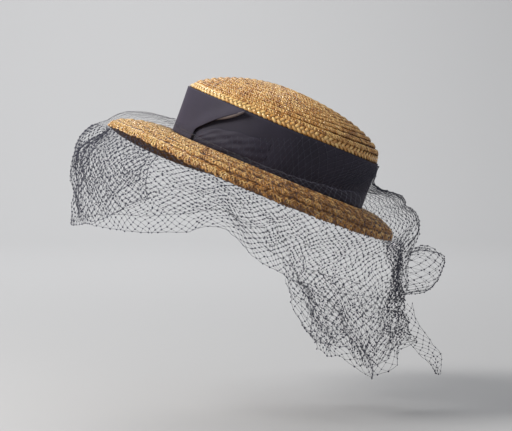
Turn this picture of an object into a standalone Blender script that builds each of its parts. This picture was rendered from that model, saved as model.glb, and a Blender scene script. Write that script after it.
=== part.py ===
"""Straw boater with a ribbon and a draped net veil, in the tilt in which it is worn.

Lengths are in millimetres until a mesh is made; the meshes are in metres, +Z up.
The hat's own directions are u (towards the back), v (to its far side) and w (up, square
to the brim).  The world frame has its origin at the middle of the crown's base opening,
the front of the hat towards -X and its left side towards -Y.
"""
import math

import bpy
import numpy as np

for old in list(bpy.data.objects):
    bpy.data.objects.remove(old, do_unlink=True)

MM = 0.001

# Driving sizes
TILT = math.radians(22.5)      # the front of the hat is up by this angle
HALF_LENGTH = 100.3            # outside of the straw wall, along u
HALF_WIDTH = 84.7              # outside of the straw wall, along v
WALL_TOP = 48.0                # where the wall turns into the dome
CROWN_HEIGHT = 82.4            # top of the dome above the brim
STRAW = 2.6                    # thickness of the sewn straw
BRIM_HALF_LENGTH = 152.0
BRIM_HALF_WIDTH = 136.0
BRIM_FORWARD = -11.0           # the brim's oval lies this far in front of the crown's
RIBBON = 1.0                   # thickness of the ribbon
RIBBON_TOP = 47.3
NET = 1.2                      # thickness of a sheet of net
GAP = 0.3                      # clearance between neighbouring pieces

# Tied sizes
WALL_SHIFT = 0.1               # middle of the wall's oval at the base, along u
WALL_LEAN = -0.038             # forward lean of the wall for each mm of height
RIBBON_OUT = GAP + RIBBON      # outside of the ribbon beyond the straw

# Counts of columns round the hat and of rows along a section
CROWN_COLUMNS = 48
BRIM_COLUMNS = 48
DRAPE_COLUMNS = 76
DRAPE_ROWS = 14

# Section of the brim, from the crown outwards, on its left and on its far side
BRIM_SECTION = (
    # outward share, share of the droop on the left, the same on the far side
    (0.00, 0.00, 0.00),
    (0.22, -0.07, 0.04),
    (0.44, -0.08, 0.18),
    (0.64, 0.04, 0.34),
    (0.81, 0.22, 0.51),
    (0.93, 0.47, 0.67),
    (1.00, 0.80, 0.86),
    (0.995, 1.00, 1.00),
)

# How far the edge of the brim hangs below the base of the crown
BRIM_DROOP = (
    # angle, droop
    (0, 17.0),
    (30, 18.0),
    (60, 21.0),
    (90, 27.0),
    (115, 34.0),
    (135, 33.0),
    (155, 28.0),
    (175, 21.5),
    (195, 19.0),
    (225, 17.0),
    (245, 18.7),
    (270, 19.5),
    (300, 19.3),
    (330, 18.5),
)

# Section of the veil for each angle, the same on both sides of the hat.
# start and leave are heights on the ribbon, lift is the height over the brim's edge,
# out is measured level from that edge, down is the fall to the widest place, and off is
# the net's distance from the ribbon band.
VEIL = (
    # angle, start, leave, lift, out, down, hem_out, hem_z, off
    (180, 12.0, 11.0, 4.5, 36.0, 41.0, 35.5, -55.5, 2.9),
    (205, 11.0, 9.0, 4.0, 33.0, 40.0, 33.0, -49.0, 3.9),
    (230, 12.0, 6.0, 3.0, 24.0, 34.0, 21.0, -54.0, 5.0),
    (248, 21.0, 5.0, 2.0, 15.0, 26.0, 8.0, -51.5, 5.0),
    (260, 28.0, 5.0, 1.6, 10.0, 18.0, 0.0, -49.5, 4.6),
    (270, 36.0, 5.0, 1.6, 7.0, 14.0, -8.0, -73.0, 2.6),
    (280, 44.0, 6.0, 1.8, 6.0, 12.0, -18.0, -89.0, 1.5),
    (292, 45.5, 8.0, 3.0, 7.0, 12.0, -30.0, -101.0, 1.2),
    (312, 45.5, 13.0, 10.0, 12.0, 16.0, -27.0, -112.0, 1.2),
    (336, 45.5, 23.0, 26.0, 22.0, 21.0, -4.0, -123.0, 1.2),
    (360, 45.0, 29.0, 34.0, 28.5, 21.0, 10.0, -129.0, 1.2),
)

# Edge of the ribbon flap: height on the ribbon and the angle where it ends
FLAP_EDGE = (
    # height, angle
    (0.8, 218.0),
    (13.0, 220.0),
    (20.0, 225.5),
    (30.0, 233.5),
    (40.0, 242.0),
    (47.0, 248.0),
)

# The tuck of ribbon: angle, lower and upper height, height of its middle off the band
TUCK = (
    # angle, low, high, puff
    (222.5, 2.5, 8.0, 0.6),
    (229.0, 3.0, 17.0, 1.5),
    (238.0, 3.5, 23.0, 1.8),
    (247.0, 5.0, 26.0, 1.3),
    (256.0, 8.5, 28.0, 1.5),
    (264.0, 15.0, 28.0, 0.6),
)

# Lower edges of the two slack folds inside the front of the veil
SWAG_LOW = (
    # angle, lowest z
    (176, 12.0),
    (186, -12.0),
    (196, -37.0),
    (205, -46.0),
    (214, -41.0),
    (224, -30.0),
    (232, -22.0),
)
SWAG_HIGH = (
    # angle, lowest z
    (178, 26.0),
    (187, 2.0),
    (197, -18.0),
    (206, -28.0),
    (215, -21.0),
    (223, -9.0),
    (230, 0.0),
)

LOBE_SPREAD = 14.0
LOBE_OFF = 2.0
# The puffed loop behind the brim: how far it stands off the veil, its height and half width
LOBE = (
    # reach, z, half width
    (0.0, -79.0, 24.0),
    (13.0, -78.6, 27.0),
    (25.4, -82.0, 30.0),
    (33.9, -92.0, 32.0),
    (35.7, -103.0, 32.0),
    (30.4, -115.5, 30.0),
    (20.1, -122.0, 27.0),
    (0.0, -125.5, 24.0),
)

# Lower edge of the long tail: the angle of the veil above it, then its place
TAIL = (
    # angle, x, y, z
    (288, 42.0, -56.0, -175.0),
    (300, 60.0, -62.0, -182.0),
    (312, 78.0, -60.0, -182.0),
    (324, 96.0, -50.0, -202.0),
    (336, 113.0, -37.0, -200.0),
    (348, 132.0, -19.0, -183.0),
    (360, 143.0, 0.0, -173.0),
)

# The pointed end
END = (
    # x and y of its front edge, x and y of its back edge, z
    (126.8, -25.0, 145.0, -9.0, -133.0),
    (128.6, -22.6, 148.5, -8.0, -146.0),
    (132.4, -17.2, 154.8, -6.0, -159.0),
    (142.4, -5.6, 164.8, -3.0, -173.0),
    (152.5, -2.0, 174.5, 1.0, -184.0),
    (162.5, 2.0, 174.0, 3.0, -195.0),
    (169.0, 4.0, 172.5, 4.0, -206.0),
)


def place(u, v, w):
    """Turn the hat's own coordinates into world ones."""
    return np.stack([
        u * math.cos(TILT) + w * math.sin(TILT),
        v + 0.0 * u,
        w * math.cos(TILT) - u * math.sin(TILT),
    ], axis=-1)


def spline(rows, column, x, ends="flat"):
    """Smooth curve through one column of a table, looked up by its first column."""
    xs = np.array([row[0] for row in rows], float)
    ys = np.array([row[column] for row in rows], float)
    if ends == "ring":
        xs = np.concatenate([xs[-2:] - 360.0, xs, xs[:2] + 360.0])
        ys = np.concatenate([ys[-2:], ys, ys[:2]])
    step = np.diff(xs)
    rise = np.diff(ys) / step
    slope = np.zeros(len(xs))
    slope[1:-1] = (rise[:-1] * step[1:] + rise[1:] * step[:-1]) / (step[1:] + step[:-1])
    if ends == "free":
        slope[0], slope[-1] = rise[0], rise[-1]
    x = np.clip(x, xs[0], xs[-1])
    i = np.clip(np.searchsorted(xs, x) - 1, 0, len(xs) - 2)
    t = (x - xs[i]) / step[i]
    return (ys[i] * (1 + 2 * t) * (1 - t) ** 2 + slope[i] * step[i] * t * (1 - t) ** 2
            + ys[i + 1] * t * t * (3 - 2 * t) + slope[i + 1] * step[i] * t * t * (t - 1))


def folded(angle):
    """Angle of the matching section on the left side of the hat."""
    angle = np.mod(angle, 360.0)
    return np.where(angle < 180.0, 360.0 - angle, np.where(angle == 0.0, 360.0, angle))


def wall(angle, w, out=0.0):
    """Place on the crown's wall, or this far outside it."""
    a = np.radians(angle)
    u = WALL_SHIFT + WALL_LEAN * w + (HALF_LENGTH + out) * np.cos(a)
    return u, (HALF_WIDTH + out) * np.sin(a)


def brim_edge(angle):
    """The brim's lower edge in the hat's own coordinates."""
    a = np.radians(angle)
    u = BRIM_FORWARD + BRIM_HALF_LENGTH * np.cos(a)
    w = -spline(BRIM_DROOP, 1, np.mod(angle, 360.0), "ring")
    return u, BRIM_HALF_WIDTH * np.sin(a), w


def level_normal(angle):
    """Level direction square to the brim's outline."""
    a = np.radians(angle)
    n = np.stack([np.cos(a) / (BRIM_HALF_LENGTH * math.cos(TILT)),
                  np.sin(a) / BRIM_HALF_WIDTH, 0.0 * a], axis=-1)
    return n / np.linalg.norm(n, axis=-1, keepdims=True)


def resample(points, rows):
    """Smooth curve through the first axis of an array of points, at even steps of length."""
    count = len(points)
    length = np.linalg.norm(np.diff(points, axis=0), axis=-1).mean(axis=1)
    at = np.concatenate([[0.0], np.cumsum(length)])
    want = np.linspace(0.0, at[-1], rows)
    slope = np.zeros_like(points)
    step = np.diff(at)[:, None, None]
    rise = np.diff(points, axis=0) / step
    slope[1:-1] = (rise[:-1] * step[1:] + rise[1:] * step[:-1]) / (step[1:] + step[:-1])
    slope[0], slope[-1] = rise[0], rise[-1]
    i = np.clip(np.searchsorted(at, want) - 1, 0, count - 2)
    t = ((want - at[i]) / np.diff(at)[i])[:, None, None]
    return (points[i] * (1 + 2 * t) * (1 - t) ** 2 + slope[i] * step[i] * t * (1 - t) ** 2
            + points[i + 1] * t * t * (3 - 2 * t) + slope[i + 1] * step[i] * t * t * (t - 1))


def material(name, color, roughness):
    """Principled material of one colour."""
    m = bpy.data.materials.new(name)
    m.use_nodes = True
    shader = m.node_tree.nodes["Principled BSDF"]
    shader.inputs["Base Color"].default_value = (*color, 1.0)
    shader.inputs["Roughness"].default_value = roughness
    m.diffuse_color = (*color, 1.0)
    return m


hat = bpy.data.collections.new("straw_boater")
bpy.context.scene.collection.children.link(hat)


def sheet(name, points, thickness, colour, roughness, ring=False, tip=None, side=-1.0):
    """Closed sheet from a grid of points, its rows along the first axis.

    A ring joins its last column to its first; a tip closes the last row in one point.
    The thickness goes inwards for side -1 and outwards for side +1.
    """
    rows, columns = points.shape[:2]
    verts = [tuple(p) for p in (points.reshape(-1, 3) * MM)]
    faces = []
    last = columns if ring else columns - 1
    for r in range(rows - 1):
        for c in range(last):
            d = (c + 1) % columns
            faces.append((r * columns + c, r * columns + d,
                          (r + 1) * columns + d, (r + 1) * columns + c))
    if tip is not None:
        verts.append(tuple(np.array(tip) * MM))
        for c in range(last):
            d = (c + 1) % columns
            faces.append(((rows - 1) * columns + c, (rows - 1) * columns + d, len(verts) - 1))
    mesh = bpy.data.meshes.new(name)
    mesh.from_pydata(verts, [], faces)
    mesh.update()
    for polygon in mesh.polygons:
        polygon.use_smooth = True
    body = bpy.data.objects.new(name, mesh)
    body.data.materials.append(material(name, colour, roughness))
    solid = body.modifiers.new("thickness", "SOLIDIFY")
    solid.thickness = thickness * MM
    solid.offset = side
    solid.use_even_offset = True
    hat.objects.link(body)
    return body


def crown_surface(columns):
    """Wall and dome of the crown, and the dome's top point."""
    angle = np.arange(columns) * 360.0 / columns
    a = np.radians(angle)
    rings = []
    for w in (-STRAW, 12.0, 30.0, WALL_TOP - 0.4):
        u, v = wall(angle, w)
        rings.append(place(u, v, w))
    power = 0.66 - 0.17 * np.cos(a)
    for share in (1.0, 0.972, 0.90, 0.79, 0.65, 0.48, 0.30, 0.13):
        middle = -2.6 - 5.4 * (1.0 - share) ** 1.2
        u = middle + (HALF_LENGTH + 0.6) * share * np.cos(a)
        v = (HALF_WIDTH + 0.6) * share * np.sin(a)
        dome = CROWN_HEIGHT - WALL_TOP - 2.0
        w = WALL_TOP + 2.0 + dome * (1.0 - share * share) ** power
        rings.append(place(u, v, w))
    top = place(np.array(-8.0), np.array(0.0), np.array(CROWN_HEIGHT))
    return np.array(rings), top


def brim_surface(columns):
    """Upper face of the brim, from the crown to the turned-down edge."""
    angle = np.arange(columns) * 360.0 / columns
    u0, v0 = wall(angle, 0.0, 2.6 * GAP)
    u1, v1, w1 = brim_edge(angle)
    left = 0.5 - 0.5 * np.sin(np.radians(angle))
    return np.array([place(u0 + (u1 - u0) * out, v0 + (v1 - v0) * out,
                           w1 * (near * left + far * (1.0 - left)))
                     for out, near, far in BRIM_SECTION])


def band_surface(columns):
    """Inner face of the ribbon band."""
    angle = np.arange(columns) * 360.0 / columns
    rings = []
    for w in (GAP + 0.2, 16.0, 32.0, RIBBON_TOP):
        u, v = wall(angle, w, GAP)
        rings.append(place(u, v, w))
    return np.array(rings)


def flap_surface():
    """Inner face of the ribbon flap, its diagonal edge standing off a little."""
    rows = []
    for w in np.linspace(0.9, RIBBON_TOP - 0.4, 8):
        end = float(spline(FLAP_EDGE, 1, np.array(w), "free"))
        angle = np.concatenate([np.linspace(148.0, 208.0, 10), np.linspace(208.0, end, 8)[1:]])
        lift = 2.2 * np.exp(-((end - angle) / 9.0) ** 2) * (0.35 + 0.65 * (w / RIBBON_TOP))
        u, v = wall(angle, w, RIBBON_OUT + 2.0 * GAP + lift)
        rows.append(place(u, v, w + 0.0 * angle))
    return np.array(rows)


def tuck_surface():
    """Inner face of the crumpled tuck of ribbon."""
    angle = np.linspace(TUCK[0][0], TUCK[-1][0], 13)
    low = spline(TUCK, 1, angle, "free")
    high = spline(TUCK, 2, angle, "free")
    puff = spline(TUCK, 3, angle, "free")
    rows = []
    for share in np.linspace(0.0, 1.0, 7):
        w = low + (high - low) * share
        ridge = math.sin(math.pi * share) ** 0.8 * (1.0 + 0.18 * np.sin(np.radians(angle * 24.0)))
        u, v = wall(angle, w, RIBBON_OUT + 2.0 * GAP + puff * ridge)
        rows.append(place(u, v, w))
    return np.array(rows)


def veil_out(angle, z):
    """How far outside the brim's edge the hanging veil is at a height."""
    side = folded(angle)
    edge = place(*brim_edge(angle))
    lift, out, down = (spline(VEIL, c, side) for c in (3, 4, 5))
    hem_out, hem_z = spline(VEIL, 6, side), spline(VEIL, 7, side)
    start_out = 1.6 + lift * math.sin(TILT) * np.cos(np.radians(angle))
    start_z = edge[..., 2] + 1.6 + lift * math.cos(TILT)
    share = np.clip((start_z - z) / down, 0.0, 1.0)
    upper = start_out + (out - start_out) * np.sqrt(1.0 - (1.0 - share) ** 2)
    below = np.clip((start_z - down - z) / np.maximum(start_z - down - hem_z, 1.0), 0.0, 1.0)
    return upper + (hem_out - out) * below ** 0.8 * (share >= 1.0)


def gathers(angle, fall):
    """Sideways waves of the hanging net, in mm, growing towards its lower edge."""
    a = np.radians(angle)
    back = 0.5 + 0.5 * np.cos(a)
    wave = 1.5 * np.sin(9.0 * a + 0.6) + (0.6 + 1.6 * back) * np.sin(14.0 * a + 1.1)
    return wave * fall


def drape_surface(columns, rows):
    """The veil from the ribbon over the brim to its lower edge."""
    angle = np.arange(columns) * 360.0 / columns
    side = folded(angle)
    start, leave, lift, out, down = (spline(VEIL, c, side) for c in (1, 2, 3, 4, 5))
    hem_z = spline(VEIL, 7, side)
    bulge = spline(VEIL, 8, side)
    points = []
    for share in (0.0, 0.5, 1.0):
        w = start + (leave - start) * share
        u, v = wall(angle, w, RIBBON_OUT + bulge + 0.8 * share)
        points.append(place(u, v, w))
    u0, v0 = wall(angle, 0.0, RIBBON_OUT + bulge)
    u1, v1, w1 = brim_edge(angle)
    left = 0.5 - 0.5 * np.sin(np.radians(angle))
    shares, near, far = (np.array(column)[:-1] for column in zip(*BRIM_SECTION))
    for t in (0.16, 0.42, 0.66, 0.84, 0.95):
        drop = np.interp(t, shares, near) * left + np.interp(t, shares, far) * (1.0 - left)
        raised = 1.6 + (leave - 1.0) * (1.0 - t) ** 0.8 * 0.9 + lift * t ** 1.5
        points.append(place(u0 + (u1 - u0) * t, v0 + (v1 - v0) * t, w1 * drop + raised))
    edge = place(u1, v1, w1)
    normal = level_normal(angle)
    start_z = edge[:, 2] + 1.6 + lift * math.cos(TILT)
    for share in (0.0, 0.12, 0.4, 0.75, 1.0, 1.35, 1.7, 2.0):
        if share <= 1.0:
            z = start_z - share * down
        else:
            z = start_z - down + (share - 1.0) * (hem_z - start_z + down)
        far = veil_out(angle, z) + gathers(angle, max(0.0, share - 0.5) / 1.5)
        far = np.maximum(far, 2.3) if share < 0.7 else far
        points.append(np.stack([edge[:, 0] + far * normal[:, 0],
                                edge[:, 1] + far * normal[:, 1], z], axis=-1))
    return resample(np.array(points), rows)


def swag_surface(table, first, last, start, inside):
    """A slack fold of net, from the brim's edge out to the inside of the veil's front."""
    angle = np.arange(first, last + 1.0, 4.0)
    edge = place(*brim_edge(angle))
    normal = level_normal(angle)
    low = spline(table, 1, angle, "free")
    top = edge[:, 2] - 0.9
    grid = []
    for step in range(8):
        if step < 4:
            z = top - (0.0, 3.0, 8.0, 15.0)[step]
        else:
            z = (top - 15.0) + (low - top + 15.0) * (step - 3) / 4.0
        spread = np.sin(0.5 * math.pi * np.clip((top - 3.0 - z) / 22.0, 0.0, 1.0))
        wide = veil_out(angle, z) - inside + gathers(angle, 0.25)
        far = start + (np.maximum(wide, start) - start) * spread
        grid.append(np.stack([edge[:, 0] + far * normal[:, 0],
                              edge[:, 1] + far * normal[:, 1], z], axis=-1))
    return np.array(grid)


def veil_point(angle, z, out):
    """Place this far outside the hanging veil at an angle and a height."""
    side = folded(angle)
    edge = place(*brim_edge(angle))
    lift, down, hem_z = spline(VEIL, 3, side), spline(VEIL, 5, side), spline(VEIL, 7, side)
    widest = edge[..., 2] + 1.6 + lift * math.cos(TILT) - down
    fall = np.clip(0.5 + (widest - z) / (widest - hem_z), 0.0, 1.5) / 1.5
    far = veil_out(angle, z) + gathers(angle, fall) + out
    normal = level_normal(angle)
    return np.stack([edge[..., 0] + far * normal[..., 0], edge[..., 1] + far * normal[..., 1], z], axis=-1)


def lobe_surface(rows, columns):
    """The puffed loop, a pillow whose rim lies on the back of the veil."""
    count = len(LOBE)
    table = [(i / (count - 1), *row) for i, row in enumerate(LOBE)]
    t = np.linspace(0.0, 1.0, rows)
    reach, z, half = (spline(table, c, t, "free") for c in (1, 2, 3))
    middle = 0.5 * (LOBE[0][1] + LOBE[-1][1])
    grid = []
    for turn in np.linspace(-0.5 * math.pi, 0.5 * math.pi, columns):
        bulge = abs(math.cos(turn)) ** 0.75
        height = middle + (z - middle) * (0.62 + 0.38 * bulge)
        wave = 1.2 * math.sin(6.0 * math.sin(turn)) * np.sin(np.pi * t) * bulge
        angle = np.degrees(np.arcsin(half * math.sin(turn) / (BRIM_HALF_WIDTH + LOBE_SPREAD)))
        grid.append(veil_point(angle, height, LOBE_OFF + reach * bulge + wave))
    return np.swapaxes(np.array(grid), 0, 1)


def tail_surface(columns, rows):
    """The long tail from just under the veil's lower edge at the back."""
    angle = np.linspace(TAIL[0][0], 720.0 - TAIL[0][0], columns)
    side = folded(angle)
    hand = np.where(angle > 360.0, -1.0, 1.0)
    edge = place(*brim_edge(angle))
    normal = level_normal(angle)
    hem_z = spline(VEIL, 7, side)
    far = spline(VEIL, 6, side) + gathers(angle, 1.0)
    top = edge + far[:, None] * normal
    top[:, 2] = hem_z - 0.7
    low = np.stack([spline(TAIL, 1, side), hand * spline(TAIL, 2, side),
                    spline(TAIL, 3, side)], axis=-1)
    a = np.radians(angle)
    fold = np.stack([np.cos(a), np.sin(a), 0.0 * a], axis=-1)
    grid = []
    for share in np.linspace(0.0, 1.0, rows):
        blend = share * share * (3.0 - 2.0 * share)
        xy = top[:, :2] + (low[:, :2] - top[:, :2]) * blend
        z = top[:, 2] + (low[:, 2] - top[:, 2]) * share
        wave = (3.0 * np.sin(17.0 * a + 0.8) * math.sin(0.5 * math.pi * share))[:, None]
        grid.append(np.concatenate([xy + wave * fold[:, :2], z[:, None]], axis=1))
    return np.array(grid)


def end_surface(columns, rows):
    """The pointed end, a narrow strip over the tail's near side with a soft cup across it."""
    count = len(END)
    table = [(i / (count - 1), *row) for i, row in enumerate(END)]
    t = np.linspace(0.0, 1.0, rows)
    x0, y0, x1, y1, z = (spline(table, c, t, "free") for c in (1, 2, 3, 4, 5))
    grid = []
    for share in np.linspace(0.0, 1.0, columns):
        cup = 2.5 * math.sin(math.pi * share) * np.sin(np.pi * np.clip(t, 0.0, 1.0))
        grid.append(np.stack([x0 + (x1 - x0) * share, y0 + (y1 - y0) * share - cup, z], axis=-1))
    return np.swapaxes(np.array(grid), 0, 1)


STRAW_COLOUR = (0.62, 0.34, 0.11)
RIBBON_COLOUR = (0.030, 0.025, 0.042)
NET_COLOUR = (0.024, 0.026, 0.050)

# Straw
dome, dome_top = crown_surface(CROWN_COLUMNS)
sheet("crown", dome, STRAW, STRAW_COLOUR, 0.45, ring=True, tip=dome_top)
sheet("brim", brim_surface(BRIM_COLUMNS)[::-1], STRAW, STRAW_COLOUR, 0.45, ring=True)

# Ribbon
sheet("ribbon_band", band_surface(CROWN_COLUMNS), RIBBON, RIBBON_COLOUR, 0.7, ring=True, side=1.0)
sheet("ribbon_flap", flap_surface(), RIBBON, RIBBON_COLOUR, 0.7, side=1.0)
sheet("ribbon_tuck", tuck_surface(), RIBBON, RIBBON_COLOUR, 0.7, side=1.0)

# Net
sheet("veil_drape", drape_surface(DRAPE_COLUMNS, DRAPE_ROWS)[::-1], NET, NET_COLOUR, 0.8,
      ring=True, side=0.0)
sheet("veil_swag_low", swag_surface(SWAG_LOW, 176.0, 232.0, 1.9, 3.6)[::-1], NET, NET_COLOUR, 0.8, side=0.0)
sheet("veil_swag_high", swag_surface(SWAG_HIGH, 180.0, 228.0, -0.4, 9.5)[::-1], NET, NET_COLOUR, 0.8, side=0.0)
sheet("veil_lobe", lobe_surface(14, 9), NET, NET_COLOUR, 0.8, side=0.0)
sheet("veil_tail", tail_surface(23, 7), NET, NET_COLOUR, 0.8, side=0.0)
sheet("veil_end", end_surface(5, 10), NET, NET_COLOUR, 0.8, side=0.0)
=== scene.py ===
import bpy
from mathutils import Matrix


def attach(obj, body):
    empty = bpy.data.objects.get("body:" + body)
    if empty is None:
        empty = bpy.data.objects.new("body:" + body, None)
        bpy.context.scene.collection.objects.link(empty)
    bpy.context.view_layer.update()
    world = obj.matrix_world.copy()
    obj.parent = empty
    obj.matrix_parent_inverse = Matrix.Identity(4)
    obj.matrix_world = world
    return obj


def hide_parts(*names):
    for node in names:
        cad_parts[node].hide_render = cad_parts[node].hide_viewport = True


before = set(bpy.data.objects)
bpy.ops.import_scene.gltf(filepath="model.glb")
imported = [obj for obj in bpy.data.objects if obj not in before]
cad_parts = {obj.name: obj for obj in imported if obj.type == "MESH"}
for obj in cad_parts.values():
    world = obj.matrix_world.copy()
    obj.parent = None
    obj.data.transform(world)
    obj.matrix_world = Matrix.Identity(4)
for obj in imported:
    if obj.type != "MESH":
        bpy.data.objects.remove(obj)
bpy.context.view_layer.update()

"""Dressed model of a straw boater with a ribbon and a draped net veil.

Lengths are in millimetres until a mesh is made, and the meshes are in metres.  The hat's own
directions are u (towards the back), v (to its far side) and w (up, square to the brim).  Angles
round it are in degrees, 0 at its back, 180 at its front and 270 on its near side.
"""
import logging
import math
from dataclasses import dataclass
from enum import Enum

import bpy
import numpy as np

log = logging.getLogger("boater")
MM = 0.001
TAU = 2.0 * math.pi
TINY = 1e-12
STRAW_WALL = 0.8


def cubic(at: np.ndarray, values: np.ndarray, want: np.ndarray, free: bool = True) -> np.ndarray:
    """Smooth curve through values, or through rows of points.

    A cubic runs from each value to the next.  Its slope at a value is the mean of the rises
    on both sides, each weighted by the length of the other side.

    Args:
        at: Where the values lie, rising.
        values: The values, along the first axis.
        want: Where to read the curve.
        free: The ends keep their own slope in place of lying flat.

    Returns:
        What the curve gives there.
    """
    more = (1,) * (values.ndim - 1)
    step = np.diff(at).reshape(-1, *more)
    rise = np.diff(values, axis=0) / step
    slope = np.zeros_like(values)
    slope[1:-1] = (rise[:-1] * step[1:] + rise[1:] * step[:-1]) / (step[1:] + step[:-1])
    if free:
        slope[0], slope[-1] = rise[0], rise[-1]
    want = np.clip(want, at[0], at[-1])
    i = np.clip(np.searchsorted(at, want) - 1, 0, len(at) - 2)
    t = (want - at[i]).reshape(np.shape(want) + more) / step[i]
    return (values[i] * (1 + 2 * t) * (1 - t) ** 2 + slope[i] * step[i] * t * (1 - t) ** 2
            + values[i + 1] * t * t * (3 - 2 * t) + slope[i + 1] * step[i] * t * t * (t - 1))


def spline(rows: tuple, column: int, x: np.ndarray, ring: bool = False,
           free: bool = False) -> np.ndarray:
    """Smooth curve through one column of a table.

    Args:
        rows: The table, looked up by its first column.
        column: Which column to follow.
        x: Where to read it.
        ring: The table closes on itself after a full turn.
        free: The ends keep their own slope in place of lying flat.

    Returns:
        The column's values at x.
    """
    xs = np.array([row[0] for row in rows], float)
    ys = np.array([row[column] for row in rows], float)
    if ring:
        xs = np.concatenate([xs[-2:] - 360.0, xs, xs[:2] + 360.0])
        ys = np.concatenate([ys[-2:], ys, ys[:2]])
    return cubic(xs, ys, x, free)


def steps(points: np.ndarray) -> np.ndarray:
    """Distances from each point to the next along the first axis."""
    return np.linalg.norm(np.diff(points, axis=0), axis=-1)


def closed_steps(path: np.ndarray) -> np.ndarray:
    """Distances from each point of a closed line to the next."""
    return np.linalg.norm(np.roll(path, -1, axis=0) - path, axis=1)


def run(step: np.ndarray) -> np.ndarray:
    """Distances from the start, one more than the steps that they add up."""
    return np.concatenate([np.zeros_like(step[:1]), np.cumsum(step, axis=0)])


def unit(v: np.ndarray) -> np.ndarray:
    """Vectors of length one in the same directions."""
    return v / np.maximum(np.linalg.norm(v, axis=-1, keepdims=True), TINY)


def turn_angles(columns: int) -> np.ndarray:
    """Even angles in degrees, once round the hat."""
    return np.arange(columns) * 360.0 / columns


def resample(points: np.ndarray, rows: int, each: bool = False) -> np.ndarray:
    """Smooth curves through the first axis of a grid of points, at even steps of length.

    Args:
        points: Grid of points, its sections running along the first axis.
        rows: Count of points wanted along each section.
        each: Even steps on every section by itself, not by the mean section.

    Returns:
        The finer grid.
    """
    at = run(steps(points).mean(axis=1))
    fine = cubic(at, points, np.linspace(0.0, at[-1], rows * 6 if each else rows))
    return along(fine, np.linspace(0.0, 1.0, rows)) if each else fine


def along(points: np.ndarray, share: np.ndarray) -> np.ndarray:
    """Points at given shares of the length of each section of a fine grid.

    Args:
        points: Fine grid, its sections running along the first axis.
        share: Shares from 0 to 1, either one list or a grid with one column a section.

    Returns:
        Grid of points, one row a share.
    """
    at = run(steps(points))
    at = at / at[-1]
    sections = at.shape[1]
    share = np.broadcast_to(share if share.ndim == 2 else share[:, None], (len(share), sections))
    low = (at[None, :, :] <= share[:, None, :] + TINY).sum(axis=1) - 1
    low = np.clip(low, 0, len(points) - 2)
    column = np.arange(sections)[None, :]
    a, b = at[low, column], at[low + 1, column]
    t = ((share - a) / np.maximum(b - a, TINY))[..., None]
    return points[low, column] * (1 - t) + points[low + 1, column] * t


def grid_faces(rows: int, columns: int, ring: bool) -> np.ndarray:
    """Four-cornered faces of a grid.

    Args:
        rows: Rows of points.
        columns: Columns of points.
        ring: The last column is joined to the first.

    Returns:
        Four point numbers a face.
    """
    across = columns if ring else columns - 1
    r, c = np.meshgrid(np.arange(rows - 1), np.arange(across), indexing="ij")
    near, far, d = r * columns, (r + 1) * columns, (c + 1) % columns
    return np.stack([near + c, near + d, far + d, far + c], -1).reshape(-1, 4)


def grid_uv(rows: int, columns: int, ring: bool, around: float, high: float) -> np.ndarray:
    """UV of the corners of a grid's faces, which on a ring runs on over the seam.

    Args:
        rows: Rows of points.
        columns: Columns of points.
        ring: The last column is joined to the first.
        around: Range of u.
        high: Range of v.

    Returns:
        Two numbers for each of the four corners of each face.
    """
    across = columns if ring else columns - 1
    r, c = np.meshgrid(np.arange(rows - 1), np.arange(across), indexing="ij")
    u = np.stack([c, c + 1, c + 1, c], -1) * around / across
    v = np.stack([r, r, r + 1, r + 1], -1) * high / (rows - 1)
    return np.stack([u, v], -1)


def join(bodies: list) -> tuple:
    """Several meshes as one.

    Args:
        bodies: For each its points, its faces and perhaps more.

    Returns:
        All points and all faces.
    """
    base = np.cumsum([0] + [len(body[0]) for body in bodies[:-1]])
    faces = [body[1] + first for body, first in zip(bodies, base)]
    return np.concatenate([body[0] for body in bodies]), np.concatenate(faces)


def make_object(name: str, points: np.ndarray, faces: np.ndarray, finish: bpy.types.Material,
                tone: np.ndarray | None = None, uv: np.ndarray | None = None) -> bpy.types.Object:
    """Mesh object with its place in its mesh.

    Args:
        name: The piece's name.
        points: Points in millimetres.
        faces: Faces, all with the same count of corners.
        finish: Its material.
        tone: One number a point, kept as the attribute "tone".
        uv: Two numbers a face corner, kept as the UV map.

    Returns:
        The new object.
    """
    mesh = bpy.data.meshes.new(name)
    mesh.from_pydata((points.reshape(-1, 3) * MM).tolist(), [], faces.tolist())
    mesh.polygons.foreach_set("use_smooth", np.ones(len(mesh.polygons), bool))
    if tone is not None:
        field = mesh.attributes.new("tone", "FLOAT", "POINT")
        field.data.foreach_set("value", tone.reshape(-1).astype(np.float32))
    if uv is not None:
        layer = mesh.uv_layers.new(name="UVMap")
        layer.data.foreach_set("uv", uv.reshape(-1).astype(np.float32))
    mesh.materials.append(finish)
    mesh.update()
    piece = bpy.data.objects.new(name, mesh)
    bpy.context.scene.collection.objects.link(piece)
    log.info("%s: %d points, %d faces", name, len(mesh.vertices), len(faces))
    return piece


def make_piece(name: str, points: np.ndarray, faces: np.ndarray, finish: bpy.types.Material,
               tone: np.ndarray | None = None, uv: np.ndarray | None = None) -> bpy.types.Object:
    """Mesh object, as make_object makes it, that rides on the row's one body."""
    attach(piece := make_object(name, points, faces, finish, tone, uv), "root")
    return piece


def stand_for(node: str) -> None:
    """Hide a solid whose place a piece takes."""
    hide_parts(node)


def thicken(piece: bpy.types.Object, thickness: float) -> None:
    """Give an open sheet its thickness, half on each side of it.

    Args:
        piece: The sheet.
        thickness: Its thickness in millimetres.
    """
    solid = piece.modifiers.new("thickness", "SOLIDIFY")
    solid.thickness = thickness * MM
    solid.offset = 0.0


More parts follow.
